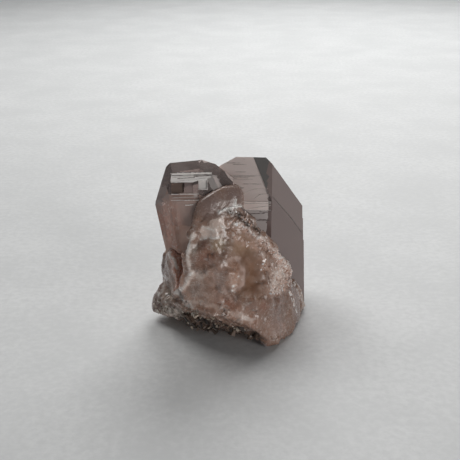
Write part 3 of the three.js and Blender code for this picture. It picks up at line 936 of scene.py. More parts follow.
@dataclass
class GrainField:
    """Small angular grains or flakes scattered over the skin where a mask asks for them."""

    name: str
    mask: Mask
    finish: "GrainFinish"
    density: float
    small: float
    large: float
    shape: Point = (1.0, 1.0, 1.0)
    spin: Point = (math.tau, math.tau, math.tau)
    on_broken: bool = True
    seed: int = 3
    jitter: float = 0.34
    sink: float = 0.2
    spread: tuple[float, float] = (0.7, 1.25)

    def build(self, skin: bpy.types.Object) -> bpy.types.Object:
        """Scatters the grains.

        Args:
            skin: The specimen, whose mesh carries the masks.

        Returns:
            The grains as one object.
        """
        tree = Tree(self.name, {
            "Density": ("NodeSocketFloat", self.density / MM ** 2),
            "Small": ("NodeSocketFloat", self.small * MM),
            "Large": ("NodeSocketFloat", self.large * MM),
            "Seed": ("NodeSocketInt", self.seed),
            "Material": ("NodeSocketMaterial", self.finish.material()),
        })
        given = tree.start.outputs
        broken = tree.named(Mask.BROKEN.value)
        where = tree.node("FunctionNodeCompare", {0: broken, 1: 0.5}, data_type="FLOAT",
                          operation="GREATER_THAN" if self.on_broken else "LESS_THAN")
        mask = tree.named(self.mask.value)
        scatter = tree.group.nodes.new("GeometryNodeDistributePointsOnFaces")
        for socket, value in (
            ("Mesh", given["Mesh"]), ("Selection", where), ("Seed", given["Seed"]),
            ("Density", tree.times(given["Density"], tree.times(mask, mask))),
        ):
            tree.group.links.new(value, scatter.inputs[socket])
        toned = tree.node("GeometryNodeStoreNamedAttribute", {
            "Geometry": scatter.outputs["Points"], "Name": GRAIN_TONE,
            "Value": tree.random(0.0, 1.0, Draw.TONE.value),
        }, data_type="FLOAT", domain="POINT")
        turn = tree.node("FunctionNodeRotateRotation", {
            0: scatter.outputs["Rotation"],
            1: tree.node("FunctionNodeEulerToRotation", {
                0: tree.random((0, 0, 0), self.spin, Draw.SPIN.value, "FLOAT_VECTOR"),
            }),
        }, rotation_space="LOCAL")
        uneven = tree.random(0.0, 1.0, Draw.SIZE.value)
        size = tree.node("ShaderNodeMix", {
            0: tree.times(uneven, uneven), 2: given["Small"], 3: given["Large"],
        }, data_type="FLOAT")
        slight, stout = (tuple(size * share for size in self.shape) for share in self.spread)
        stretch = tree.random(slight, stout, Draw.STRETCH.value, "FLOAT_VECTOR")
        scale = tree.node("ShaderNodeVectorMath", {0: stretch, "Scale": size}, operation="SCALE")
        inward = tree.node("ShaderNodeVectorMath", {
            0: scatter.outputs["Normal"], "Scale": tree.times(size, -self.sink),
        }, operation="SCALE")
        seated = tree.node("GeometryNodeSetPosition", {"Geometry": toned, "Offset": inward})
        placed_grains = tree.node("GeometryNodeInstanceOnPoints", {
            "Points": seated, "Instance": self._kinds(tree), "Pick Instance": True,
            "Instance Index": tree.random(0, 2, Draw.KIND.value, "INT"), "Rotation": turn, "Scale": scale,
        })
        tree.finish(placed_grains)
        piece = linked(self.name, skin.data.copy())
        tree.run(piece)
        for polygon in piece.data.polygons:
            polygon.use_smooth = False
        return piece

    def _kinds(self, tree: Tree) -> bpy.types.NodeSocket:
        """A rough grain, a six-sided point and a splinter, each a unit across.

        Args:
            tree: The tree that they are made in.

        Returns:
            The three as instances to pick from.
        """
        rough = tree.node("GeometryNodeMeshIcoSphere", {"Radius": 0.5, "Subdivisions": 1})
        point = tree.node("GeometryNodeMeshCone", {
            "Vertices": 6, "Radius Top": 0.0, "Radius Bottom": 0.42, "Depth": 1.3,
        })
        splinter = tree.node("GeometryNodeMeshCube", {"Size": (0.5, 0.75, 1.1)})
        kinds = []
        for number, mesh in enumerate((rough, point, splinter)):
            reach = self.jitter / 2
            wobble = tree.random((-reach,) * 3, (reach,) * 3, Draw.BENT.value + number, "FLOAT_VECTOR")
            bent = tree.node("GeometryNodeSetPosition", {"Geometry": mesh, "Offset": wobble})
            kinds.append(tree.node("GeometryNodeGeometryToInstance", {"Geometry": bent}))
        return tree.node("GeometryNodeJoinGeometry", {"Geometry": kinds})


@dataclass(frozen=True)
class GrowthLine:
    """A fine raised line on a crystal face, through points across and up the face."""

    plane: Plane
    along: tuple[tuple[float, float], ...]
    tone: float = 0.9
    weight: float = 1.0


@dataclass(frozen=True)
class SeenLine:
    """A fine raised line drawn as it is seen from the front, across and up from the aim in millimetres."""

    along: tuple[tuple[float, float], ...]
    tone: float = 0.9
    weight: float = 1.0


@dataclass
class GrowthLines:
    """The fine raised lines that growth left on the crystal faces."""

    finish: "GrainFinish"
    lines: tuple[GrowthLine | SeenLine, ...]
    spacing: float = 0.35
    thickness: float = 0.09
    waver: float = 0.08

    def build(self, skin: bpy.types.Object) -> bpy.types.Object:
        """Lays the lines on the crystal faces.

        Args:
            skin: The specimen, whose surface they follow.

        Returns:
            The lines as one object.
        """
        tree = Tree("growth_lines", {
            "Thickness": ("NodeSocketFloat", self.thickness * MM),
            "Waver": ("NodeSocketFloat", self.waver * MM),
            "Material": ("NodeSocketMaterial", self.finish.material()),
        })
        given = tree.start.outputs
        noise_at = tree.node("ShaderNodeTexNoise", {"Scale": 900.0, "Detail": 2.0}, "Color")
        middle = tree.node("ShaderNodeVectorMath", {0: noise_at, 1: (0.5, 0.5, 0.5)}, operation="SUBTRACT")
        shift = tree.node("ShaderNodeVectorMath", {0: middle, "Scale": given["Waver"]}, operation="SCALE")
        wavy = tree.node("GeometryNodeSetPosition", {"Geometry": given["Mesh"], "Offset": shift})
        curves = tree.node("GeometryNodeMeshToCurve", {"Mesh": wavy})
        fine = tree.node("GeometryNodeSetCurveRadius", {
            "Curve": curves,
            "Radius": tree.times(tree.random(0.5, 1.3, Draw.THICKNESS.value), tree.named(WEIGHT)),
        })
        profile = tree.node("GeometryNodeCurvePrimitiveCircle", {
            "Resolution": 4, "Radius": given["Thickness"],
        })
        tree.finish(tree.node("GeometryNodeCurveToMesh", {
            "Curve": fine, "Profile Curve": profile, "Fill Caps": True,
            "Scale": tree.node("GeometryNodeInputRadius"),
        }))
        piece = linked("growth_lines", self._paths(skin))
        tree.run(piece)
        return piece

    def _ray(self, line: GrowthLine | SeenLine, u: float, v: float) -> tuple[Vector, Vector, float]:
        """Where a line's point is sought on the skin.

        Args:
            line: The line.
            u: Millimetres across.
            v: Millimetres up.

        Returns:
            The start, the direction and the reach of the search.
        """
        if isinstance(line, GrowthLine):
            across, up, out = line.plane.axes()
            above = np.array(line.plane.through) + u * across + v * up + out
            return placed(tuple(above)), Vector(tuple(-out)), 2.2 * MM
        eye, aim = placed(eye_place()), placed(AIM)
        level = Vector((1, 0, 0))
        upright = level.cross(aim - eye).normalized()
        towards = aim + (u * level + v * upright) * MM - eye
        return eye, towards.normalized(), 1.0

    def _paths(self, skin: bpy.types.Object) -> bpy.types.Mesh:
        """The lines' middles as a mesh of edges, laid on the skin.

        Args:
            skin: The specimen, whose surface they follow.

        Returns:
            The mesh.
        """
        mesh = skin.data
        tree = BVHTree.FromPolygons([v.co for v in mesh.vertices], [p.vertices for p in mesh.polygons])
        points, edges, tones, weights = [], [], [], []
        for line in self.lines:
            last = None
            for start, end in zip(line.along, line.along[1:]):
                steps = max(2, round(math.dist(start, end) / self.spacing))
                for i in range(steps + 1):
                    u, v = (a + (b - a) * i / steps for a, b in zip(start, end))
                    hit = tree.ray_cast(*self._ray(line, u, v))[0]
                    if hit is None:
                        last = None
                        continue
                    points.append(hit)
                    tones.append(line.tone)
                    weights.append(line.weight)
                    if last is not None:
                        edges.append((last, len(points) - 1))
                    last = len(points) - 1
        mesh = bpy.data.meshes.new("growth_lines")
        mesh.from_pydata(points, edges, [])
        store(mesh, GRAIN_TONE, tones)
        store(mesh, WEIGHT, weights)
        return mesh


def seen_lines() -> tuple[SeenLine, ...]:
    """The sharp bright edges on the broken front.

    Returns:
        The crest, its spur and the dashes along the seam.
    """
    return (
        SeenLine(SEEN_CREST, 1.0, 2.4),
        SeenLine(((1.1, 5.4), (1.5, 7.2)), 1.0, 2.4),
        SeenLine(((13.4, -12.6), (13.8, -13.2)), 1.0, 2.4),
        SeenLine(((13.7, -14.4), (14, -15.3)), 1.0, 2.2),
        SeenLine(((14.2, -15.8), (14.5, -16.6)), 1.0, 2.2),
        SeenLine(((14.7, -17), (14.9, -17.8)), 1.0, 2.2),
        SeenLine(((15.2, -18.4), (15.5, -19.2)), 1.0, 2.4),
    )


def growth_lines() -> tuple[GrowthLine, ...]:
    """The steps' edges, painted bright as highlights where they catch the light, and the finer lines between
    them.

    Returns:
        The lines that follow the photograph, and then the drawn ones.
    """
    lines = [GrowthLine(face, along, *looks) for face, along, *looks in (
        (BIG_FRONT, ((-6, 31.5), (7.1, 31.72))),
        (BIG_FRONT, ((-6, 31.1), (7.1, 31.3)), 0.7),
        (BIG_FRONT, ((-6, 29.72), (7.1, 29.72)), 1.0),
        (BIG_FRONT, ((2, 30), (7.1, 30.9)), 0.75),
        (BIG_FRONT, ((-1, 32.2), (1.6, 34.0), (3.4, 34.7), (6.3, 35.0)), 0.75),
        (BIG_FRONT, ((3.2, 32.2), (4.4, 33.4), (6.6, 33.7)), 0.75),
        (BIG_RIGHT, ((-5.5, 33), (3.1, 25.2), (10.6, 17.4)), 0.1),
        (SIDE_FRONT, ((0.1, -0.35), (9.2, -0.35))),
        (SIDE_FRONT, ((0.1, -2.3), (9.0, -1.45))),
        (SIDE_FRONT, ((0.4, -1.2), (7, -0.9)), 0.8),
        (SIDE_FRONT, ((0.1, -5.0), (6.2, -5.0))),
        (SIDE_FRONT, ((0.3, -5.7), (6.2, -5.6)), 0.8),
        (SIDE_FRONT, ((0.1, -6.2), (6.2, -6.4))),
        (SIDE_FRONT, ((6.2, -4), (8.2, -4), (8.2, -2), (6.2, -2), (6.2, -4))),
        (SIDE_BODY, ((3.6, -2.6), (5.4, -2.4)), 1.0, 1.6),
        (SIDE_FRONT, ((0.3, -0.8), (9.1, -0.7)), 0.1),
        (SIDE_FRONT, ((1.6, -1.5), (5.4, -1.3)), 0.3),
        (SIDE_FRONT, ((5.2, -1.05), (9.1, -0.95)), 0.1, 1.4),
    )]
    draw = random.Random(11)
    for _ in range(26):
        high, left = draw.uniform(14, 29.4), draw.uniform(-4, 6)
        right = min(left + draw.uniform(2, 7), 7)
        lines.append(GrowthLine(BIG_FRONT, ((left, high), (right, high + draw.uniform(-0.2, 0.3))),
                                draw.choice((0.05, 0.4, 0.7))))
    for _ in range(12):
        high, left = draw.uniform(34.5, 41), draw.uniform(-4, 1)
        lines.append(GrowthLine(BIG_FRONT, ((left, high), (left + draw.uniform(2, 5), high + 0.05)), 0.5))
    return tuple(lines)


class Net:
    """A mesh's points and the edges between them, to even out values over the surface."""

    def __init__(self, mesh: bpy.types.Mesh) -> None:
        """Reads the mesh's edges.

        Args:
            mesh: The mesh.
        """
        ends = np.empty(len(mesh.edges) * 2, np.int32)
        mesh.edges.foreach_get("vertices", ends)
        self.starts, self.stops = ends[0::2], ends[1::2]
        self.count = len(mesh.vertices)
        self.degree = np.bincount(ends, minlength=self.count)[:, None]

    def smoothed(self, values: np.ndarray, rounds: int) -> np.ndarray:
        """Moves each point's values half way to its neighbours' mean, a number of times.

        Args:
            values: One row for each point.
            rounds: How many times.

        Returns:
            The evened values.
        """
        for _ in range(rounds):
            total = np.stack([
                np.bincount(self.starts, column[self.stops], self.count)
                + np.bincount(self.stops, column[self.starts], self.count)
                for column in values.T
            ], axis=1)
            values = 0.5 * values + 0.5 * total / self.degree
        return values


def coordinates(mesh: bpy.types.Mesh) -> np.ndarray:
    """Reads a mesh's points.

    Args:
        mesh: The mesh.

    Returns:
        The places, one row each.
    """
    flat = np.empty(len(mesh.vertices) * 3, np.float32)
    mesh.vertices.foreach_get("co", flat)
    return flat.reshape(-1, 3).astype(float)


def outward(mesh: bpy.types.Mesh) -> np.ndarray:
    """Reads the outward directions at a mesh's points.

    Args:
        mesh: The mesh.

    Returns:
        The directions, one row each.
    """
    flat = np.empty(len(mesh.vertices) * 3, np.float32)
    mesh.vertex_normals.foreach_get("vector", flat)
    return flat.reshape(-1, 3)


def store(mesh: bpy.types.Mesh, name: str, values: np.ndarray | list[float], domain: str = "POINT") -> None:
    """Stores numbers or colours on a mesh as a named attribute.

    Args:
        mesh: The mesh.
        name: The attribute's name.
        values: One number each, or one row of four each for colours.
        domain: What carries them, "POINT" or "CORNER".
    """
    packed = np.asarray(values, np.float32)
    kind, key = ("FLOAT_COLOR", "color") if packed.ndim > 1 else ("FLOAT", "value")
    mesh.attributes.new(name, kind, domain).data.foreach_set(key, packed.ravel())


def write(mesh: bpy.types.Mesh, places: np.ndarray) -> None:
    """Moves a mesh's points to new places."""
    mesh.vertices.foreach_set("co", places.astype(np.float32).ravel())
    mesh.update()


def settle(piece: bpy.types.Object) -> None:
    """Turns a piece's modifiers into its plain mesh.

    Args:
        piece: The piece.
    """
    evaluated = piece.evaluated_get(bpy.context.evaluated_depsgraph_get())
    mesh = bpy.data.meshes.new_from_object(evaluated)
    piece.modifiers.clear()
    piece.data = mesh


def linked(name: str, mesh: bpy.types.Mesh) -> bpy.types.Object:
    """Puts a mesh into the scene as an object at the origin.

    Args:
        name: The object's name.
        mesh: Its mesh.

    Returns:
        The object.
    """
    made = bpy.data.objects.new(name, mesh)
    bpy.context.scene.collection.objects.link(made)
    return made


class Shader:
    """A material's node tree while it is being built."""

    def __init__(self, name: str) -> None:
        """Starts an empty material.

        Args:
            name: The material's name.
        """
        self.material = bpy.data.materials.new(name)
        self.material.use_nodes = True
        self.tree = self.material.node_tree
        self.tree.nodes.clear()
        self.output = self.tree.nodes.new("ShaderNodeOutputMaterial")
        self.place = self.tree.nodes.new("ShaderNodeTexCoord").outputs["Object"]

    def node(self, kind: str, sockets: dict | None = None, **settings: object) -> bpy.types.Node:
        """Adds a node.

        Args:
            kind: The node's type.
            sockets: Values or other nodes' outputs for its inputs, by name or number.
            **settings: The node's own settings.

        Returns:
            The new node.
        """
        made = self.tree.nodes.new(kind)
        for name, value in settings.items():
            setattr(made, name, value)
        for name, value in (sockets or {}).items():
            if isinstance(value, bpy.types.NodeSocket):
                self.tree.links.new(value, made.inputs[name])
            else:
                made.inputs[name].default_value = value
        return made

    def mask(self, mask: Mask) -> bpy.types.NodeSocket:
        """The painted mask's value."""
        return self.node("ShaderNodeAttribute", attribute_name=mask.value).outputs["Fac"]

    def value(self, name: str, output: str = "Fac") -> bpy.types.NodeSocket:
        """A named attribute's value or colour."""
        return self.node("ShaderNodeAttribute", attribute_name=name).outputs[output]

    def thin(self, value: Feed, width: float) -> bpy.types.NodeSocket:
        """Thin lines where a noise crosses its middle.

        Args:
            value: The noise.
            width: How far from the middle the lines reach.

        Returns:
            1 on the lines, 0 off them.
        """
        off = self.node("ShaderNodeMath", {0: value, 1: 0.5, 2: width}, operation="COMPARE").outputs[0]
        away = self.node("ShaderNodeMath", {0: value, 1: 0.5}, operation="SUBTRACT").outputs[0]
        near = self.node("ShaderNodeMath", {0: away}, operation="ABSOLUTE").outputs[0]
        return self.sum(off, self.level(near, width, 0.3 * width))

    def cracked(self, size: Point, bend: float) -> tuple[bpy.types.NodeSocket, bpy.types.NodeSocket]:
        """Cells with bent borders.

        Args:
            size: The cells' size along each axis, in metres.
            bend: How far the borders are bent, in cells.

        Returns:
            Each cell's own tone, and the distance to its border.
        """
        wave = self.node("ShaderNodeTexNoise", {"Vector": self.place, "Scale": 1 / size[0], "Detail": 2})
        shift = self.node("ShaderNodeVectorMath", {0: wave.outputs[1], "Scale": bend}, operation="SCALE")
        bent = {0: self.stretched(size), 1: shift.outputs[0]}
        place = self.node("ShaderNodeVectorMath", bent, operation="ADD").outputs[0]
        tone = self.node("ShaderNodeTexVoronoi", {"Vector": place, "Scale": 1}).outputs["Color"]
        tone = self.node("ShaderNodeSeparateColor", {0: tone}).outputs[0]
        border = self.node("ShaderNodeTexVoronoi", {"Vector": place, "Scale": 1}, feature="DISTANCE_TO_EDGE")
        return tone, border.outputs["Distance"]

    def sum(self, first: Feed, second: Feed, kind: str = "MULTIPLY") -> bpy.types.NodeSocket:
        """Two values worked together, clamped to 0 to 1."""
        made = self.node("ShaderNodeMath", {0: first, 1: second}, operation=kind, use_clamp=True)
        return made.outputs[0]

    def stretched(self, size: Point, turn: Point = (0, 0, 0)) -> bpy.types.NodeSocket:
        """The object's own coordinates in steps of another size.

        Args:
            size: The steps along each axis, in metres.
            turn: How they are turned, in radians.

        Returns:
            The coordinates.
        """
        scale = tuple(1 / s for s in size)
        made = self.node("ShaderNodeMapping", {"Vector": self.place, "Scale": scale, "Rotation": turn})
        return made.outputs[0]

    def clouds(self, size: float, detail: float = 4, rough: float = 0.55, twist: float = 0,
               place: bpy.types.NodeSocket | None = None) -> bpy.types.NodeSocket:
        """Soft noise.

        Args:
            size: The features' size in metres, or their scale where a place is given.
            detail: How many finer layers it has.
            rough: How strong the finer layers are.
            twist: How much it is distorted.
            place: The coordinates to use, or none for the object's own.

        Returns:
            The noise, about 0.5 in the middle.
        """
        scale = 1 / size if place is None else size
        made = self.node("ShaderNodeTexNoise", {
            "Vector": place or self.place, "Scale": scale, "Detail": detail, "Roughness": rough,
            "Distortion": twist,
        })
        return made.outputs["Fac"]

    def level(self, value: Feed, low: float, high: float, start: float = 0,
              end: float = 1) -> bpy.types.NodeSocket:
        """Maps a value's stretch to another, softly.

        Args:
            value: The value.
            low: Where the stretch starts.
            high: Where it ends.
            start: What it becomes at low.
            end: What it becomes at high.

        Returns:
            The mapped value.
        """
        made = self.node("ShaderNodeMapRange", {
            "Value": value, "From Min": low, "From Max": high, "To Min": start, "To Max": end,
        }, interpolation_type="SMOOTHSTEP")
        return made.outputs[0]

    def blend(self, share: Feed, first: Feed, second: Feed) -> bpy.types.NodeSocket:
        """One colour over another.

        Args:
            share: How much of the second shows.
            first: The colour beneath.
            second: The colour on top.

        Returns:
            The blend.
        """
        made = self.node("ShaderNodeMix", data_type="RGBA")
        for socket, value in zip((0, 6, 7), (share, first, second)):
            if isinstance(value, bpy.types.NodeSocket):
                self.tree.links.new(value, made.inputs[socket])
            elif socket:
                made.inputs[socket].default_value = (*value, 1)
            else:
                made.inputs[socket].default_value = value
        return made.outputs[2]

    def between(self, share: Feed, first: Feed, second: Feed) -> bpy.types.NodeSocket:
        """One number over another by a share."""
        made = self.node("ShaderNodeMix", {0: share, 2: first, 3: second}, data_type="FLOAT")
        return made.outputs[0]

    def finished(self, shell: bpy.types.Node, volume: bpy.types.Node | None = None) -> bpy.types.Material:
        """Joins the shell, and what fills it, to the material's output.

        Args:
            shell: The surface's shader.
            volume: The shader of what is inside, if it is see-through.

        Returns:
            The finished material.
        """
        self.tree.links.new(shell.outputs[0], self.output.inputs["Surface"])
        if volume:
            self.tree.links.new(volume.outputs[0], self.output.inputs["Volume"])
        return self.material


class QuartzShader(Shader):
    """The quartz's node tree, with the noises and masks that several of its layers share."""

    def __init__(self) -> None:
        """Starts the tree with what its layers share."""
        super().__init__("smoky_quartz")
        self.broken = self.mask(Mask.BROKEN)
        self.gold = self.mask(Mask.GOLD)
        self.relief = self.value(RELIEF)
        self.fine = self.clouds(0.7 * MM, 4, 0.6)
        self.coarse = self.clouds(2.8 * MM, 5, 0.6, 1.2)
        self.clean = self.level(self.mask(Mask.GLASSY), 0, 0.6, 1, 0.1)
        place = self.stretched((3.2 * MM, 3.2 * MM, 5.0 * MM), (0.3, 0.5, 0))
        wisps = self.thin(self.clouds(1, 3, 0.6, 1.6, place), 0.03)
        self.wisps = self.sum(wisps, self.level(self.fine, 0.42, 0.6))

    def most(self, first: Feed, *others: Feed) -> bpy.types.NodeSocket:
        """The greatest of several values.

        Args:
            first: One value.
            *others: The others.

        Returns:
            The greatest, 0 to 1.
        """
        for other in others:
            first = self.sum(first, other, "MAXIMUM")
        return first

    def cracks(self) -> tuple[bpy.types.NodeSocket, bpy.types.NodeSocket]:
        """The cells that the broken stone falls into.

        Returns:
            Each cell's own tone, and the cracks between cells.
        """
        cell, border = self.cracked((3.4 * MM, 3.4 * MM, 4.6 * MM), 1.3)
        _, seam = self.cracked((1.5 * MM, 1.5 * MM, 2.0 * MM), 1.0)
        cracks = self.most(self.level(border, 0.035, 0.008), self.level(seam, 0.04, 0.01, 0, 0.7))
        cracks = self.sum(cracks, self.level(self.fine, 0.4, 0.58))
        return cell, self.sum(cracks, self.level(self.mask(Mask.GLASSY), 0, 0.6, 0.75, 0.1))

    def milky(self) -> bpy.types.NodeSocket:
        """Where the broken stone is milky.

        Returns:
            The haze, the frost and a few faint clouds together.
        """
        haze, frost = (
            self.sum(self.level(self.mask(mask), low, high), self.level(self.coarse, 0.36, 0.6, least, 1))
            for mask, low, high, least in ((Mask.HAZE, 0.1, 0.75, 0.6), (Mask.FROST, 0.2, 0.45, 0.7))
        )
        milky = self.most(haze, frost, self.sum(self.level(self.coarse, 0.54, 0.68), 0.12))
        milky = self.sum(milky, self.level(self.mask(Mask.GLASSY), 0, 1, 1, 0.3))
        return self.sum(milky, self.broken)

    def snow(self, milky: Feed, cracks: Feed) -> bpy.types.NodeSocket:
        """Where the broken stone is white, with painted highlights on its proud ridges.

        Args:
            milky: Where it is milky.
            cracks: The cracks between its cells.

        Returns:
            The painted marks, wisps, cracks, painted highlights on proud ridges, flow lines and dots
            together.
        """
        marks = self.sum(self.mask(Mask.SNOW), self.level(self.fine, 0.36, 0.56, 0.2, 1))
        wisps = self.sum(self.sum(milky, self.wisps), 0.6)
        cracks = self.sum(cracks, self.level(self.gold, 0, 0.5, 0.3, 0.05))
        # Painted highlight: white on the points that stand proud of their surroundings, where ridges catch
        # the light.
        ridge_highlight = self.sum(self.broken, self.level(self.relief, 0.58, 0.8))
        ridge_highlight = self.sum(ridge_highlight, self.sum(self.most(milky, self.mask(Mask.SPARKLE)), 0.8))
        flow = self.node("ShaderNodeTexWave", {
            "Vector": self.stretched((1, 1, 0.5)), "Scale": 1 / (7 * MM), "Distortion": 12.0, "Detail": 3.0,
            "Detail Scale": 1.6,
        }, bands_direction="Z").outputs["Fac"]
        flow = self.sum(self.level(flow, 0.86, 0.97), self.level(self.gold, 0, 0.5, 0.28, 0))
        flow = self.sum(flow, self.level(self.coarse, 0.5, 0.62))
        dots = self.node("ShaderNodeTexVoronoi", {"Vector": self.place, "Scale": 1 / (1.1 * MM)})
        dots = self.sum(self.level(dots.outputs["Distance"], 0.17, 0.1), self.level(self.coarse, 0.47, 0.55))
        flow, dots = self.sum(flow, self.clean), self.sum(dots, self.sum(self.clean, 0.6))
        return self.sum(self.most(marks, wisps, cracks, ridge_highlight, flow, dots), self.broken)

    def stain(self) -> bpy.types.NodeSocket:
        """Where the broken stone is stained dark, and where painted shade darkens its hollows.

        Returns:
            The painted stains and the painted shade in the hollows together.
        """
        stain = self.sum(self.mask(Mask.STAIN), self.level(self.coarse, 0.34, 0.5, 0.45, 1))
        # Painted shade: dark in the points that lie lower than their surroundings, where the hollows are
        # shaded.
        hollow_shade = self.sum(self.broken, self.level(self.relief, 0.42, 0.15))
        return self.sum(self.most(stain, self.sum(hollow_shade, 0.5)), self.broken)

    def veils(self) -> tuple[bpy.types.NodeSocket, bpy.types.NodeSocket]:
        """The veils in the leaning crystal.

        Returns:
            The rusty cloud, and the pale streaks in it.
        """
        place = self.stretched((0.6 * MM, 0.6 * MM, 3.0 * MM), (0, -0.35, 0))
        streaks = self.clouds(1, 4, 0.65, 1.4, place)
        veil = self.most(self.level(streaks, 0.54, 0.66, 0, 0.6), self.wisps)
        veil = self.sum(self.level(self.mask(Mask.VEIL), 0.1, 0.6), veil)
        return self.sum(self.mask(Mask.VEIL), self.level(self.coarse, 0.36, 0.56, 0.6, 1)), veil

    def dusky(self, cell: Feed) -> bpy.types.NodeSocket:
        """Where the broken stone is a shade darker.

        Args:
            cell: Each cell's own tone.

        Returns:
            The dark cells and clouds together.
        """
        dusky = self.most(self.level(cell, 0.3, 0.8, 0, 0.3), self.level(self.coarse, 0.56, 0.4, 0, 0.35))
        dusky = self.sum(dusky, self.sum(self.clean, self.level(self.gold, 0, 0.5, 1, 0.3)))
        return self.sum(dusky, self.broken)

    def cloudy(self, glassy: Feed) -> bpy.types.NodeSocket:
        """How cloudy the bare stone is.

        Args:
            glassy: Where the broken stone is glassy.

        Returns:
            The cloud in the crystals and in the broken stone together.
        """
        height = self.node("ShaderNodeSeparateXYZ", {0: self.place}).outputs["Z"]
        cloudy = self.sum(self.level(self.clouds(7 * MM, 4, 0.6, 0.5), 0.35, 0.65, 0.14, 0.3),
                          self.level(height, 26 * MM, 8 * MM, 0, 0.28), "ADD")
        whole = self.sum(1.0, self.broken, "SUBTRACT")
        broken = self.sum(self.broken, self.between(glassy, 0.8, 0.66))
        return self.sum(self.sum(cloudy, whole), broken, "ADD")


@dataclass(frozen=True)
class SmokyQuartzFinish:
    """Clear smoky quartz, frosted, stained and veiled where it is broken, with painted shade in its hollows
    and painted highlights on its ridges.
    """

    clear: Colour = (0.68, 0.57, 0.54)
    shade: Colour = (0.28, 0.145, 0.08)
    milk: Colour = (0.80, 0.645, 0.565)
    # The white of the marks, also used for the painted highlights on the ridges.
    snow: Colour = (0.98, 0.94, 0.90)
    rust: Colour = (0.54, 0.24, 0.165)
    glass: Colour = (0.35, 0.25, 0.22)
    # The dark of the stains, also used for the painted shade in the hollows and the crevice.
    stain: Colour = (0.04, 0.028, 0.019)
    smoke: Colour = (0.50, 0.395, 0.365)
    smoke_density: float = 90.0
    ior: float = QUARTZ_IOR

    def material(self) -> bpy.types.Material:
        """Builds the finish.

        Returns:
            The material.
        """
        s = QuartzShader()
        cell, cracks = s.cracks()
        milky = s.milky()
        snow = s.snow(milky, cracks)
        stain = s.stain()
        rust, veil = s.veils()
        glassy = s.sum(s.mask(Mask.GLASSY), s.broken)

        colour = s.blend(s.broken, self.clear, s.value(TINT, "Color"))
        for share, tone in (
            (s.dusky(cell), self.shade), (s.value(TONED), s.value(TONE, "Color")), (rust, self.rust),
            (s.sum(veil, 0.7), self.milk), (glassy, self.glass), (milky, self.milk), (snow, self.snow),
            (stain, self.stain),
        ):
            colour = s.blend(share, colour, tone)

        opaque = s.most(s.cloudy(glassy), *(s.sum(share, weight) for share, weight in (
            (milky, 0.9), (snow, 0.95), (s.most(rust, veil), 0.75), (stain, 0.95), (s.value(TONED), 1.0),
            (s.gold, 0.9),
        )))

        rough = s.between(s.broken, 0.04, s.level(s.fine, 0.35, 0.65, 0.12, 0.3))
        rough = s.between(s.sum(s.level(s.gold, 0, 0.4), s.broken), rough, 0.6)
        lines = s.clouds(1, 3, 0.6, 0, s.stretched((9 * MM, 9 * MM, 0.35 * MM)))
        bumps = s.between(s.broken, s.sum(lines, 0.25), s.clouds(0.5 * MM, 2, 0.5))
        bump = s.node("ShaderNodeBump", {"Strength": 0.3, "Distance": 0.08 * MM, "Height": bumps})

        shell = s.node("ShaderNodeBsdfPrincipled", {
            "Base Color": colour, "Roughness": rough, "IOR": self.ior,
            "Transmission Weight": s.sum(1.0, opaque, "SUBTRACT"), "Normal": bump.outputs[0],
        })
        smoke = s.node("ShaderNodeVolumeAbsorption", {
            "Color": (*self.smoke, 1), "Density": self.smoke_density,
        })
        return s.finished(shell, smoke)


@dataclass(frozen=True)
class GrainFinish:
    """Glossy little quartz grains, from stained brown to pale pink."""

    name: str
    dark: Colour
    pale: Colour
    bright: Colour
    roughness: float = 0.22

    def material(self) -> bpy.types.Material:
        """Builds the finish.

        Returns:
            The material.
        """
        s = Shader(self.name)
        tone = s.value(GRAIN_TONE)
        colour = s.blend(s.level(tone, 0.1, 0.75), self.dark, self.pale)
        colour = s.blend(s.level(tone, 0.8, 0.95), colour, self.bright)
        mottle = s.level(s.clouds(0.35 * MM, 3, 0.6), 0.35, 0.65, 0.75, 1)
        colour = s.blend(mottle, self.dark, colour)
        shell = s.node("ShaderNodeBsdfPrincipled", {
            "Base Color": colour, "IOR": QUARTZ_IOR,
            "Roughness": s.level(tone, 0, 1, self.roughness + 0.15, self.roughness),
        })
        return s.finished(shell)


CRUST_FINISH = GrainFinish("crust_grains",
                           (0.022, 0.014, 0.010), (0.17, 0.115, 0.085), (0.66, 0.56, 0.46), 0.3)
LUMP_FINISH = GrainFinish("pale_lumps",
                          (0.22, 0.17, 0.13), (0.55, 0.48, 0.41), (0.88, 0.83, 0.76), 0.3)
# Pale glossy grains whose near-white colour partly paints the rim's glints.
SPARKLE_FINISH = GrainFinish("sparkle_grains",
                             (0.62, 0.42, 0.34), (1.0, 0.90, 0.85), (1.0, 1.0, 1.0), 0.08)
FLECK_FINISH = GrainFinish("veil_flecks",
                           (0.42, 0.15, 0.085), (0.70, 0.36, 0.25), (1.0, 0.86, 0.76), 0.2)
# Pale and bright tones on the growth steps' edges are painted highlights where the steps catch the light.
LINE_FINISH = GrainFinish("growth_lines",
                          (0.13, 0.10, 0.09), (0.75, 0.68, 0.64), (1.0, 0.97, 0.94), 0.15)


def grain_fields() -> tuple[GrainField, ...]:
    """The crust's grains, the rim's sparkling ones and the veils' flecks.

    Returns:
        The fields, in the order that they are built.
    """
    return (
        GrainField("crust_grains", Mask.CRUST, CRUST_FINISH, density=2.2, small=0.35, large=2.1, seed=3),
        GrainField("pale_lumps", Mask.LUMP, LUMP_FINISH, density=6.0, small=0.25, large=0.9, seed=4),
        GrainField("sparkle_grains", Mask.SPARKLE, SPARKLE_FINISH, density=6.0, small=0.22, large=0.75,
                   seed=5),
        GrainField("veil_flecks", Mask.VEIL, FLECK_FINISH, density=8.0, small=0.12, large=0.45,
                   shape=(0.5, 2.2, 0.3), spin=(0.12, 0.12, 0.9), on_broken=False, seed=7),
    )


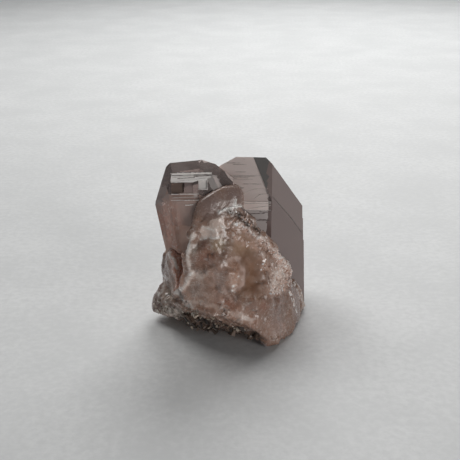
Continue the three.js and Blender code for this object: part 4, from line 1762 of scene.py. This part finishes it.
@dataclass(frozen=True)
class FloorFinish:
    """Plain pale board with faint mottling."""

    pale: Colour = (0.66, 0.675, 0.68)
    shade: Colour = (0.58, 0.595, 0.60)

    def material(self) -> bpy.types.Material:
        """Builds the finish.

        Returns:
            The material.
        """
        s = Shader("pale_floor")
        mottle = s.sum(s.clouds(26 * MM, 6, 0.6), s.clouds(1.6 * MM, 3, 0.6), "MULTIPLY")
        colour = s.blend(s.level(mottle, 0.12, 0.42), self.shade, self.pale)
        shell = s.node("ShaderNodeBsdfPrincipled", {"Base Color": colour, "Roughness": 0.6})
        return s.finished(shell)


@dataclass(frozen=True)
class SoftLight:
    """A square soft light that looks at the specimen, by millimetres and watts."""

    name: str
    at: Point
    side: float
    power: float
    colour: Colour

    def hang(self) -> None:
        """Hangs the light and turns it to the specimen."""
        data = bpy.data.lights.new(self.name, "AREA")
        data.size = self.side * MM
        data.energy = self.power
        data.color = self.colour
        light = bpy.data.objects.new(self.name, data)
        light.location = Vector(self.at) * MM
        light.rotation_euler = (placed(AIM) - light.location).to_track_quat("-Z", "Y").to_euler()
        bpy.context.scene.collection.objects.link(light)


LIGHTS = (
    SoftLight("back_window", (120, 480, 380), 400, 2.6, (1.0, 0.99, 0.98)),
    SoftLight("ceiling", (-230, 200, 480), 300, 1.4, (1.0, 0.98, 0.96)),
    SoftLight("right_front", (290, -340, 80), 240, 0.92, (1.0, 0.97, 0.95)),
)


@dataclass
class Studio:
    """The floor, the soft lights and the camera, at the photograph's angle."""

    lens: float = 70.0
    sensor: float = 36.0
    floor_half: float = 1500.0
    floor_drop: float = 0.02
    sky: Colour = (0.86, 0.93, 1.0)
    sky_strength: float = 0.05
    clip_start: float = 0.01

    def build(self) -> None:
        """Sets up the stage round the specimen."""
        self._camera()
        self._floor()
        for light in LIGHTS:
            light.hang()
        world = bpy.data.worlds.new("studio")
        world.use_nodes = True
        world.node_tree.nodes["Background"].inputs["Color"].default_value = (*self.sky, 1)
        world.node_tree.nodes["Background"].inputs["Strength"].default_value = self.sky_strength
        bpy.context.scene.world = world
        bpy.context.scene.view_settings.view_transform = "Standard"

    def _camera(self) -> None:
        """Places the camera where the photograph was taken from."""
        data = bpy.data.cameras.new("camera")
        data.lens = self.lens
        data.sensor_width = self.sensor
        data.clip_start = self.clip_start
        camera = bpy.data.objects.new("camera", data)
        bpy.context.scene.collection.objects.link(camera)
        camera.location = placed(eye_place())
        camera.rotation_euler = (math.pi / 2 - math.radians(LOOK_DOWN), 0, 0)
        bpy.context.scene.camera = camera

    def _floor(self) -> None:
        """Lays the floor just under the specimen."""
        half, low = self.floor_half * MM, -self.floor_drop * MM
        mesh = bpy.data.meshes.new("floor")
        corners = [(-half, -half, low), (half, -half, low), (half, half, low), (-half, half, low)]
        mesh.from_pydata(corners, [], [(0, 1, 2, 3)])
        mesh.materials.append(FloorFinish().material())
        linked("floor", mesh)


def report(piece: bpy.types.Object) -> None:
    """Logs a piece's name and how fine its mesh is."""
    log.info("%s: %d triangles", piece.name, sum(len(p.vertices) - 2 for p in piece.data.polygons))


def main() -> None:
    """Builds the specimen and its studio."""
    logging.basicConfig(level=logging.INFO, format="%(name)s: %(message)s")
    noise.seed_set(NOISE_SEED)
    Studio().build()
    body = QuartzBody().build()
    body.data.materials.append(SmokyQuartzFinish().material())
    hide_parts(NODE)
    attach(body, BODY)
    pieces = [field.build(body) for field in grain_fields()]
    pieces.append(GrowthLines(LINE_FINISH, (*growth_lines(), *seen_lines())).build(body))
    for piece in pieces:
        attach(piece, BODY)
    for piece in (body, *pieces):
        report(piece)


if __name__ == "__main__":
    main()
